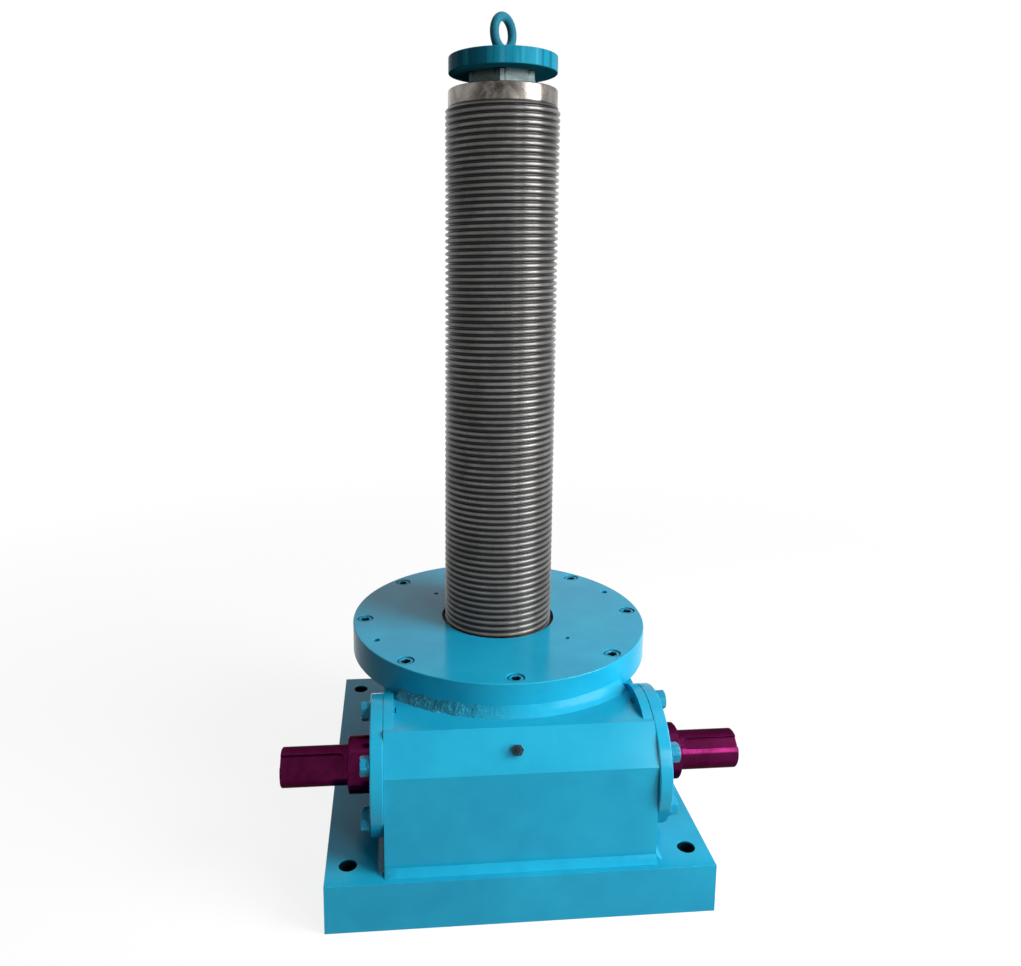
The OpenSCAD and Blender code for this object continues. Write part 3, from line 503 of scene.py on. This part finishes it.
def sealRubberMaterial():
    material, tree, shader = newMaterial("sealRubber", Specular_IOR_Level=0.35)
    grain = placeGroup(tree, roughGroup, Grain_Scale=700.0).outputs["Grain"]
    colour = twoTone(tree, grain, (0.01, 0.01, 0.011), (0.035, 0.035, 0.037))
    tree.links.new(colour, shader.inputs["Base Color"])
    tree.links.new(rangeOf(tree, grain, 0.3, 0.7, 0.5, 0.75), shader.inputs["Roughness"])
    addBump(tree, shader, grain, 0.2, 0.0004)
    return material


sealRubber = sealRubberMaterial()


def darkenGrooves(material, crest, groove):      # a darker colour below the crests of the lifting thread, deepest in the grooves
    tree = material.node_tree
    x, y, z = objectPlace(tree)
    tintWhere(material, rangeOf(tree, radiusOf(tree, x, y), groove, crest, 1.0, 0.0), (0.025, 0.0245, 0.024))


def addLeftShadeAndSpatter(material, fullAt, noneAt):        # painted shade that darkens the bead towards the left, and pale weld specks; both thin out along X
    tree = material.node_tree
    x, y, z = objectPlace(tree)
    specks = placeGroup(tree, roughGroup, Grain_Scale=300.0)
    left = rangeOf(tree, x, noneAt, fullAt, 0.0, 1.0)
    # painted shade: darker towards the left end
    tintWhere(material, calc(tree, "MULTIPLY", left, 0.75), (0.005, 0.075, 0.106))
    many = calc(tree, "MULTIPLY", rangeOf(tree, specks.outputs["Grain"], 0.57, 0.62, 0.0, 0.8), left)
    tintWhere(material, many, (0.11, 0.31, 0.36))


def belowFace(tree, z, height, amount=1.0):      # a mask that sets in just below a face
    return rangeOf(tree, z, height - 0.003, height - 0.001, amount, 0.0)


def paintShadeBelow(material, height, margin=None):  # painted shade in the sockets and holes that open at this height
    tree = material.node_tree
    x, y, z = objectPlace(tree)
    mask = belowFace(tree, z, height)
    if margin:
        (lowX, lowY), (highX, highY) = margin
        for value, low, high in ((x, lowX, highX), (y, lowY, highY)):
            over, under = calc(tree, "GREATER_THAN", value, low), calc(tree, "LESS_THAN", value, high)
            mask = calc(tree, "MULTIPLY", mask, calc(tree, "MULTIPLY", over, under))
    tintWhere(material, mask, (0.002, 0.012, 0.02))


def paintShadeInHoles(material, height, radius):       # painted shade in every hole of a round cover
    tree = material.node_tree
    x, y, z = objectPlace(tree)
    within = calc(tree, "LESS_THAN", radiusOf(tree, x, y), radius)
    tintWhere(material, calc(tree, "MULTIPLY", belowFace(tree, z, height, 0.85), within), (0.002, 0.03, 0.05))


def paintReflectionStreaks(material):                        # painted reflections: dark and light streaks that run down the rim of the round plate
    tree = material.node_tree
    flat = treeNode(tree, "ShaderNodeVectorMath", {0: objectPoint(tree), 1: (1.0, 1.0, 0.04)},
                    operation="MULTIPLY")
    streak = noiseOf(tree, flat.outputs["Vector"], 75.0, 2.0)
    tintWhere(material, rangeOf(tree, streak, 0.5, 0.4, 0.0, 0.55), (0.003, 0.055, 0.085))
    tintWhere(material, rangeOf(tree, streak, 0.62, 0.68, 0.0, 0.5), (0.04, 0.25, 0.34))


print("materials made")

# every CAD node gets the finish of its slot; pieces made below replace some of them
slotFinish = {"paint": innerPaint, "screw_paint": boltPaint, "steel": innerSteel,
              "bearing_steel": bearingSteel, "bronze": gearBronze, "lacquer": shaftLacquer,
              "rubber": sealRubber}
for part in frame["record"]["subparts"]:
    data = nodes[part["node"]].data
    data.materials.clear()
    data.materials.append(slotFinish[part["material_slot"]])
nodes["grease_nipple"].data.materials[0] = nippleSteel
for nodeName in ("left_shim", "right_shim"):     # painted over together with the housing
    nodes[nodeName].data.materials[0] = tealPaint


# edge roundings of the housing pieces, and how far the painted shade of the holes stays from the edges
housingEdges = {"base_plate": 0.0022, "worm_box": 0.0016, "flange_ring": 0.0010, "top_cover": 0.0012,
                "left_end_cover": 0.0014, "right_end_cover": 0.0014, "gear_drum": 0.0008}
unshadedMargin = {"base": 0.005, "cover": 0.004}
housingPaint = {"base_plate": basePaint, "top_cover": coverPaint}
ringLow, ringHigh = nodeBox("flange_ring")
baseLow, baseHigh = nodeBox("base_plate")
inset = Vector((unshadedMargin["base"], unshadedMargin["base"], 0))
# painted shade in the bolt holes of the base plate, kept clear of its edges
paintShadeBelow(basePaint, baseHigh.z, ((baseLow + inset)[:2], (baseHigh - inset)[:2]))
coverHigh = nodeBox("top_cover")[1]
# painted shade in the holes of the top cover
paintShadeInHoles(coverPaint, coverHigh.z, coverHigh.x - unshadedMargin["cover"])
for nodeName, width in housingEdges.items():
    words = nodeName.split("_")
    pieceName = words[0] + "".join(w.capitalize() for w in words[1:])
    rounded = roundedMesh(nodeName, width, seam=ringHigh.z)
    makePiece(pieceName, rounded, housingPaint.get(nodeName, tealPaint), "housing", [nodeName])
for pieceName in ("flangeRing", "topCover"):     # the rim is duller than the polished top face
    secondFinish(bpy.data.objects[pieceName], rimPaint, lambda face: abs(face.normal.z) < 0.3)
secondFinish(bpy.data.objects["wormBox"], wallPaint, lambda face: abs(face.normal.x) > 0.9)
print("housing rounded")

shaftMesh = roundedMesh("worm_shaft", 0.0005, 2, 32)
makePiece("wormShaft", shaftMesh, shaftLacquer, "worm", ["worm_shaft"])


weldLooks = {"rippleLength": 0.0052, "rippleDepth": 0.07, "lumpDepth": 0.2, "bow": -0.16, "step": 0.0011,
             "footSize": 0.95, "footLumps": 0.8, "footRoughness": 0.35, "drumRoughness": 0.5,
             "ringSize": 0.93, "ringLumps": 1.0, "upperSize": 0.9, "footGap": 0.05, "upperGap": 0.09,
             "ringSeed": 3, "footSeed": 21, "upperSeed": 31, "smoothAngle": 60}
beadSteps = [0, 0.14, 0.32, 0.5, 0.68, 0.86, 1]     # parts of the way across the bead's face


def weldLists(stations, leg, lumps, seed):     # a station is (corner, first way, second way, roughness)
    stations = list(stations)
    verts = []
    travelled = 0.0
    previous = stations[0][0]
    for corner, first, second, rough in stations:
        travelled += (corner - previous).length
        previous = corner
        verts.append(corner)
        for t in beadSteps:
            wave = math.sin(math.pi * (travelled / weldLooks["rippleLength"] + 0.9 * math.sin(math.pi * t)))
            lump = noise.noise(Vector((travelled * 55, t * 1.6, seed)))
            lump += 0.35 * noise.noise(Vector((travelled * 170, t * 4.0, seed + 9)))
            ripple = weldLooks["rippleDepth"] * rough * (1 - abs(wave))
            size = 1 - ripple + lumps * rough * weldLooks["lumpDepth"] * lump
            size = leg * max(0.45, min(1.07, size))
            bow = 1 + weldLooks["bow"] * math.sin(math.pi * t)
            verts.append(corner + first * (size * (1 - t) * bow) + second * (size * t * bow))
    loops = loopsOf(len(verts), len(beadSteps) + 1)
    return verts, wallFaces(loops) + [loops[0][::-1], loops[-1]]


def arcStations(radius, height, start, end, second, roughness):
    count = max(2, int(radius * abs(end - start) / weldLooks["step"]))
    for i in range(count + 1):
        a = start + (end - start) * i / count
        outward = Vector((math.cos(a), math.sin(a), 0))
        yield (outward * radius + Vector((0, 0, height)), outward, second, roughness(a))


def lineStations(start, end, first, second, rough):
    count = max(2, int((end - start).length / weldLooks["step"]))
    for i in range(count + 1):
        yield (start.lerp(end, i / count), first, second, rough)


def ringRoughness(a):                          # the bead gets rougher towards the left
    return 0.25 + 1.5 * min(1, max(0, -0.05 - math.cos(a)) * 3)


def layBead(name, lists, material, nodeName):
    mesh = meshFrom(name, *lists, weldLooks["smoothAngle"])
    makePiece(name, mesh, material, "housing", [nodeName])


up, down = Vector((0, 0, 1)), Vector((0, 0, -1))
weldLow, weldHigh = nodeBox("ring_weld")
ringRadius = ringHigh.x
ringLeg = weldHigh.z - weldLow.z
endAngle = math.acos(weldHigh.x / (ringRadius + ringLeg))
underRing = arcStations(ringRadius, weldLow.z, math.pi + endAngle, 2 * math.pi - endAngle, up, ringRoughness)
ringWeld = weldLists(underRing, ringLeg * weldLooks["ringSize"], weldLooks["ringLumps"], weldLooks["ringSeed"])
# painted shade darkens the ring bead towards the left, under pale weld specks
addLeftShadeAndSpatter(roughWeldPaint, -0.12, 0.02)
layBead("ringWeldBead", ringWeld, roughWeldPaint, "ring_weld")

drumRadius = nodeBox("gear_drum")[1].x
boxLow, boxHigh = nodeBox("worm_box")
footLow = nodeBox("base_weld")[0]
leg = boxLow.y - footLow.y
meet = math.asin(-boxHigh.y / drumRadius)      # where the box runs into the drum
side = boxHigh.x
frontLeft, frontRight = Vector((-side, boxLow.y, footLow.z)), Vector((side, boxLow.y, footLow.z))
backLeft, backRight = Vector((-side, boxHigh.y, footLow.z)), Vector((side, boxHigh.y, footLow.z))
footSides = ((frontLeft, frontRight, (0, -1, 0)), (frontRight, backRight, (1, 0, 0)),
             (backLeft, frontLeft, (-1, 0, 0)))


def drumStations(height, gap, second, rough):     # round the back of the drum, from side to side of the box
    return arcStations(drumRadius, height, gap - meet, math.pi + meet - gap, second, lambda a: rough)


footLines = [lineStations(start, end, Vector(first), up, weldLooks["footRoughness"])
             for start, end, first in footSides]
footLines.append(drumStations(footLow.z, weldLooks["footGap"], up, weldLooks["drumRoughness"]))
footBeads = [weldLists(line, leg * weldLooks["footSize"], weldLooks["footLumps"], weldLooks["footSeed"] + i)
             for i, line in enumerate(footLines)]
# painted shade darkens the left end of the foot bead, under pale weld specks
addLeftShadeAndSpatter(footWeldPaint, -side - 0.01, 0.02 - side)
layBead("footWeldBead", joinLists(*footBeads), footWeldPaint, "base_weld")
underRingBack = drumStations(ringLow.z, weldLooks["upperGap"], down, 1.0)
upperLeg = ringLeg * weldLooks["upperSize"]
drumWeld = weldLists(underRingBack, upperLeg, weldLooks["footLumps"], weldLooks["upperSeed"])
layBead("drumWeldBead", drumWeld, weldPaint, "drum_weld")
print("welds laid")


coverScrew = {"headRadius": 0.012, "headHeight": 0.016, "socket": 0.0138, "socketDepth": 0.008,
              "shank": 0.0078, "count": 8, "circle": 0.226, "twist": 0.37, "segments": 48}


def socketScrewLists(look, length):
    r, h, shank, segments = look["headRadius"], look["headHeight"], look["shank"], look["segments"]
    outer = [(0, -length), (shank - 0.001, -length), (shank, -length + 0.001), (shank, -0.0006),
             (shank + 0.0006, 0), (r - 0.0002, 0), (r, 0.0004), (r, h - 0.0014), (r - 0.0004, h - 0.0005),
             (r - 0.0014, h)]
    verts, faces = turnedLists(outer, segments)
    start = len(verts)
    for grow, z in ((1.06, h), (1.0, h - 0.0006), (1.0, h - look["socketDepth"])):
        verts += hexPoints(look["socket"] * grow, z, segments)
    rim = list(range(start - segments, start))
    loops = [rim] + [[i + start for i in loop] for loop in loopsOf(len(verts) - start, segments)]
    return verts, faces + wallFaces(loops) + [loops[-1]]


screwLow, screwHigh = nodeBox("cover_screws")
seat = screwHigh.z - coverScrew["headHeight"]
# painted shade in the screw sockets and on the heads inside the counterbores
paintShadeBelow(socketPaint, screwHigh.z)
coverScrewMesh = ringOfPieces("coverScrews", socketScrewLists(coverScrew, seat - screwLow.z), coverScrew,
                              -math.pi / 2, seat, socketPaint)
makePiece("coverScrews", coverScrewMesh, socketPaint, "housing", ["cover_screws"])

endBolt = {"acrossFlats": 0.024, "headHeight": 0.0102, "chamfer": 0.0016, "washer": 0.003,
           "washerRadius": 0.0136, "shank": 0.008, "count": 6, "circle": 0.083, "twist": 0.61}
wormLow, wormHigh = nodeBox("worm_thread")
wormAxis = Vector((0, (wormLow.y + wormHigh.y) / 2, (wormLow.z + wormHigh.z) / 2))


def endBoltLists(look, length):
    w, r, s = look["washer"], look["washerRadius"], look["shank"]
    shank = turnedLists([(0, -length), (s - 0.001, -length), (s, -length + 0.001), (s, 0.0), (0, 0.0)], 32)
    washer = turnedLists([(0, 0), (r - 0.0004, 0), (r, 0.0005), (r, w - 0.0006), (r - 0.0006, w), (0, w)], 40)
    head = hexLists(look["acrossFlats"], look["headHeight"], look["chamfer"], bothEnds=False)
    return joinLists(shank, washer, moved(head, Matrix.Translation((0, 0, w))))


for sideName, sign in (("left", -1), ("right", 1)):
    low, high = nodeBox(sideName + "_cover_bolts")
    endCoverLow, endCoverHigh = nodeBox(sideName + "_end_cover")
    face = endCoverHigh.x if sign > 0 else -endCoverLow.x
    inner = low.x if sign > 0 else -high.x
    mirror = Matrix.Diagonal((sign, 1, 1, 1))
    toAxis = Matrix.Translation(wormAxis) @ mirror @ Matrix.Rotation(math.pi / 2, 4, "Y")
    boltLists = endBoltLists(endBolt, face - inner)
    pieceName = sideName + "CoverBolts"
    mesh = ringOfPieces(pieceName, boltLists, endBolt, 0.0, face, boltPaint, toAxis)
    makePiece(pieceName, mesh, boltPaint, "housing", [sideName + "_cover_bolts"])
print("bolts set")


# the thread's profile is (part of the pitch, part of the depth), from a crest to the middle of the groove
screwLook = {"outerRadius": 0.090, "pitch": 0.010, "depth": 0.005, "stepsPerTurn": 64, "stepsAcross": 17,
             "profile": ((0.06, 0.01), (0.12, 0.035), (0.18, 0.09), (0.23, 0.2), (0.28, 0.42), (0.33, 0.72),
                         (0.38, 0.95), (0.44, 1.0)),
             "grooveDarkFrom": 0.0012, "grooveDarkFull": 0.0042, "collarHeight": 0.027, "stubRadius": 0.035}
darkenGrooves(threadSteel, screwLook["outerRadius"] - screwLook["grooveDarkFrom"],
              screwLook["outerRadius"] - screwLook["grooveDarkFull"])


def threadTree():     # a sheet wound up along the pitch, its ends running out to the core
    tree, given, out = newTree("trapezoidThread",
                               [("Turns", "Float"), ("Steps", "Int"), ("Pitch", "Float"),
                                ("Outer Radius", "Float"), ("Depth", "Float"), ("Low", "Float"),
                                ("High", "Float"), ("Finish", "Material")])
    labels = ("Pitch", "Outer Radius", "Depth", "Low", "High")
    pitch, outer, depth, low, high = [given.outputs[label] for label in labels]
    grid = treeNode(tree, "GeometryNodeMeshGrid",
                    {"Size X": 1.0, "Size Y": 1.0, "Vertices X": given.outputs["Steps"],
                     "Vertices Y": screwLook["stepsAcross"]})
    position = treeNode(tree, "GeometryNodeInputPosition").outputs[0]
    place = treeNode(tree, "ShaderNodeSeparateXYZ", {"Vector": position})
    turn = calc(tree, "MULTIPLY", calc(tree, "ADD", place.outputs[0], 0.5), given.outputs["Turns"])
    across = calc(tree, "ADD", place.outputs[1], 0.5)
    angle = calc(tree, "MULTIPLY", turn, 2 * math.pi)
    turned = calc(tree, "ADD", turn, across)
    rise = calc(tree, "MULTIPLY_ADD", turned, pitch, calc(tree, "SUBTRACT", low, pitch))
    height = calc(tree, "MINIMUM", calc(tree, "MAXIMUM", rise, low), high)
    profile = treeNode(tree, "ShaderNodeFloatCurve", {"Value": across})
    curve = profile.mapping.curves[0]
    curve.points[0].location = (0.0, 0.0)
    curve.points[1].location = (1.0, 0.0)
    for x, y in screwLook["profile"]:
        curve.points.new(x, y)
        curve.points.new(1 - x, y)
    for point in curve.points:
        point.handle_type = "VECTOR"
    profile.mapping.update()
    threaded = calc(tree, "SUBTRACT", outer, calc(tree, "MULTIPLY", profile.outputs[0], depth))
    core = calc(tree, "SUBTRACT", outer, depth)
    lowEnd = calc(tree, "ADD", core, calc(tree, "SUBTRACT", height, low))
    highEnd = calc(tree, "ADD", core, calc(tree, "SUBTRACT", high, height))
    radius = calc(tree, "MINIMUM", threaded, calc(tree, "MINIMUM", lowEnd, highEnd))
    x, y = [calc(tree, "MULTIPLY", radius, calc(tree, ratio, angle)) for ratio in ("COSINE", "SINE")]
    point = treeNode(tree, "ShaderNodeCombineXYZ", {"X": x, "Y": y, "Z": height})
    bent = treeNode(tree, "GeometryNodeSetPosition",
                    {"Geometry": grid.outputs["Mesh"], "Position": point.outputs[0]})
    joined = treeNode(tree, "GeometryNodeMergeByDistance", {"Geometry": bent.outputs[0], "Distance": 1e-6})
    finishTree(tree, out, joined.outputs[0], given.outputs["Finish"])
    return tree


lowScrew, highScrew = nodeBox("lifting_screw")
neckLow, neckHigh = nodeBox("lock_nut")
threadLow = nodeBox("stop_ring")[1].z
threadHigh = neckLow.z - screwLook["collarHeight"]
steps = screwLook["stepsPerTurn"]
turns = round((threadHigh - threadLow) / screwLook["pitch"]) + 2
threadValues = {"Turns": float(turns), "Steps": turns * steps + 1, "Pitch": screwLook["pitch"],
                "Outer Radius": screwLook["outerRadius"], "Depth": screwLook["depth"],
                "Low": threadLow, "High": threadHigh, "Finish": threadSteel}
thread = grownMesh(threadTree(), threadValues, "liftingThread")
core = screwLook["outerRadius"] - screwLook["depth"]
stub = screwLook["stubRadius"]
collarFoot = threadHigh + 0.001
foot = core - 0.004                            # the plain end inside the stop ring
lowerEnd = turnedLists([(0, lowScrew.z), (foot - 0.001, lowScrew.z), (foot, lowScrew.z + 0.001),
                        (foot, threadLow), (core, threadLow)], steps)
upperEnd = turnedLists([(core, threadHigh), (core, collarFoot)], steps)
endVerts, endFaces = joinLists(lowerEnd, upperEnd)
ends = bpy.data.meshes.new("screwEnds")
ends.from_pydata(endVerts, [], endFaces)
bm = bmesh.new()
bm.from_mesh(thread)
bm.from_mesh(ends)
bm.to_mesh(thread)
bm.free()
tidyMesh(thread, 40, 2e-6)
makePiece("liftingThread", thread, threadSteel, "screw", ["lifting_screw"])

collarTop = neckLow.z
collarRadius = core + 0.0004
collar = turnedLists([(core, collarFoot), (collarRadius, collarFoot + 0.0006),
                      (collarRadius, collarTop - 0.0024), (core - 0.0003, collarTop - 0.0010),
                      (core - 0.002, collarTop), (stub, collarTop), (stub, highScrew.z), (0, highScrew.z)], 128)
makePiece("screwCollar", meshFrom("screwCollar", *collar, 30), collarSteel, "screw", ())

neck = {"acrossFlats": 0.100, "chamfer": 0.0032, "turn": math.radians(-101), "segments": 144, "fit": 0.0001}
neckHex = hexLists(neck["acrossFlats"], neckHigh.z - neckLow.z, neck["chamfer"], neck["turn"],
                   neck["segments"], boreRadius=stub + neck["fit"])
neckLists = moved(neckHex, Matrix.Translation((0, 0, neckLow.z)))
makePiece("hexNeck", meshFrom("hexNeck", *neckLists, 25), nutSteel, "screw", ["lock_nut"])

# painted reflections: streaks down the rim of the top plate
paintReflectionStreaks(plateRimPaint)
plate = makePiece("topPlate", roundedMesh("top_plate", 0.0010), platePaint, "screw", ["top_plate"])
secondFinish(plate, plateRimPaint, lambda face: abs(face.normal.z) < 0.5)
# painted shade: the downward faces get the darker paint
secondFinish(plate, dullShadedPaint, lambda face: face.normal.z < -0.5)
print("lifting screw cut")


eyeLook = {"barRadius": 0.007, "outerDiameter": 0.063, "collarRadius": 0.0176, "shank": 0.0078, "swell": 0.16,
           "turn": math.radians(49), "ringSteps": 96, "barSteps": 40, "fuse": 0.0007, "softening": 6}


def eyeRingLists(look, top):                   # thicker at the bottom, where it runs into the collar
    ringRadius = look["outerDiameter"] / 2 - look["barRadius"]
    centre = top - look["outerDiameter"] / 2
    verts = []
    for i in range(look["ringSteps"]):
        a = 2 * math.pi * i / look["ringSteps"]
        thick = look["barRadius"] * (1 + look["swell"] * max(0, -math.sin(a)) ** 3)
        for k in range(look["barSteps"]):
            b = 2 * math.pi * k / look["barSteps"]
            reach = ringRadius + thick * math.cos(b)
            verts.append((reach * math.cos(a), thick * math.sin(b), centre + reach * math.sin(a)))
    loops = loopsOf(len(verts), look["barSteps"])
    return verts, wallFaces(loops + [loops[0]])


def eyeBoltMesh(look):
    low, high = nodeBox("eye_bolt")
    foot = nodeBox("top_plate")[1].z
    r, shank = look["collarRadius"], look["shank"]
    profile = [(0, low.z), (shank - 0.001, low.z), (shank, low.z + 0.0012), (shank, foot), (r - 0.0006, foot),
               (r, foot + 0.0006), (r, foot + 0.0035), (r - 0.001, foot + 0.0048), (r * 0.72, foot + 0.0066),
               (r * 0.56, foot + 0.009), (r * 0.47, foot + 0.0115), (0.0, foot + 0.0125)]
    lists = joinLists(eyeRingLists(look, high.z), turnedLists(profile, 48))
    holder = addObject("eyeHolder", meshFrom("eyeBolt", *lists))
    remesh = holder.modifiers.new("fuse", "REMESH")
    remesh.mode = "VOXEL"
    remesh.voxel_size = look["fuse"]
    smooth = holder.modifiers.new("soften", "SMOOTH")
    smooth.iterations = look["softening"]
    result = evaluatedMesh(holder)
    bpy.data.objects.remove(holder)
    result.transform(Matrix.Rotation(look["turn"], 4, "Z"))
    result.shade_smooth()
    return result


makePiece("eyeBolt", eyeBoltMesh(eyeLook), eyePaint, "screw", ["eye_bolt"])
print("eye bolt forged")


studio = {"diffuseSky": 0.2, "floorReach": 30.0, "floorColour": 0.145, "floorGlow": 0.855,
          "fadeFrom": 0.6, "fadeTo": 2.2,
          "lamps": [("keyLamp", (2.05, -1.2, 1.45), (1.4, 2.3), 140, (0, -0.1, 0.5)),
                    ("stripLamp", (-1.75, -2.3, 1.3), (0.3, 1.8), 2.0, (0, 0, 0.6)),
                    ("shaftLamp", (0.94, -2.03, 0.82), (0.38, 0.95), 15, (0.25, -0.22, 0.2)),
                    ("topLamp", (0.6, -0.3, 3.2), (1.6, 1.6), 12, (0, -0.1, 0.3))]}


def addLamp(name, place, size, power, target):
    data = bpy.data.lights.new(name, "AREA")
    data.shape = "RECTANGLE"
    data.size, data.size_y = size
    data.energy = power
    lamp = addObject(name, data)
    lamp.location = place
    lamp.rotation_euler = (Vector(target) - Vector(place)).to_track_quat("-Z", "Y").to_euler()


for lamp in studio["lamps"]:
    addLamp(*lamp)


def paleRays(tree):     # 1 for the rays of the camera, of reflections and of glass, which see the backdrop
    rays = treeNode(tree, "ShaderNodeLightPath").outputs
    shiny = calc(tree, "MAXIMUM", rays["Is Glossy Ray"], rays["Is Transmission Ray"])
    return calc(tree, "MAXIMUM", rays["Is Camera Ray"], shiny)


world = bpy.data.worlds.new("studioWorld")
bpy.context.scene.world = world
world.use_nodes = True
sky = world.node_tree
background = sky.nodes["Background"]
sky.links.new(rangeOf(sky, paleRays(sky), 0.0, 1.0, studio["diffuseSky"], 1.0), background.inputs["Strength"])
background.inputs["Color"].default_value = (1, 1, 1, 1)


def studioFloor(look):                     # a grey floor round the object that fades into the white backdrop
    mesh = bpy.data.meshes.new("studioFloor")
    reach = look["floorReach"]
    corners = [(-reach, -reach, 0), (reach, -reach, 0), (reach, reach, 0), (-reach, reach, 0)]
    mesh.from_pydata(corners, [], [(0, 1, 2, 3)])
    material, tree, shader = newMaterial("studioFloor", Roughness=0.9, Specular_IOR_Level=0.0)
    mesh.materials.append(material)
    shader.inputs["Emission Color"].default_value = (1, 1, 1, 1)
    distance = treeNode(tree, "ShaderNodeVectorMath", {0: objectPoint(tree)}, operation="LENGTH")
    fade = rangeOf(tree, distance.outputs["Value"], look["fadeFrom"], look["fadeTo"], 0.0, 1.0)
    tree.links.new(twoTone(tree, fade, (look["floorColour"],) * 3, (0, 0, 0)), shader.inputs["Base Color"])
    glow = calc(tree, "MULTIPLY_ADD", fade, 1.0 - look["floorGlow"], look["floorGlow"])
    tree.links.new(calc(tree, "MULTIPLY", glow, paleRays(tree)), shader.inputs["Emission Strength"])
    under = treeNode(tree, "ShaderNodeNewGeometry").outputs["Backfacing"]     # clear from below
    tree.links.new(calc(tree, "SUBTRACT", 1.0, under), shader.inputs["Alpha"])
    return addObject("studioFloor", mesh)


floor = studioFloor(studio)

cameraLook = {"place": (-0.17154, -1.40011, 0.92434), "yaw": 4.89, "pitch": -9.41, "roll": 0.23, "sensor": 36,
              "lens": 30.581, "shift": (0.0412, -0.0829)}
yaw, pitch, roll = (math.radians(cameraLook[k]) for k in ("yaw", "pitch", "roll"))
forward = Vector((math.sin(yaw) * math.cos(pitch), math.cos(yaw) * math.cos(pitch), math.sin(pitch)))
right = Vector((math.cos(yaw), -math.sin(yaw), 0))
above = right.cross(forward)
rightRolled = right * math.cos(roll) + above * math.sin(roll)
aboveRolled = -right * math.sin(roll) + above * math.cos(roll)
cameraData = bpy.data.cameras.new("camera")
cameraData.sensor_width = cameraLook["sensor"]
cameraData.lens = cameraLook["lens"]
cameraData.shift_x, cameraData.shift_y = cameraLook["shift"]
camera = addObject("camera", cameraData)
turnMatrix = Matrix((rightRolled, aboveRolled, -forward)).transposed().to_4x4()
camera.matrix_world = Matrix.Translation(cameraLook["place"]) @ turnMatrix
bpy.context.scene.camera = camera
bpy.context.scene.view_settings.view_transform = "Standard"

print("scene ready")
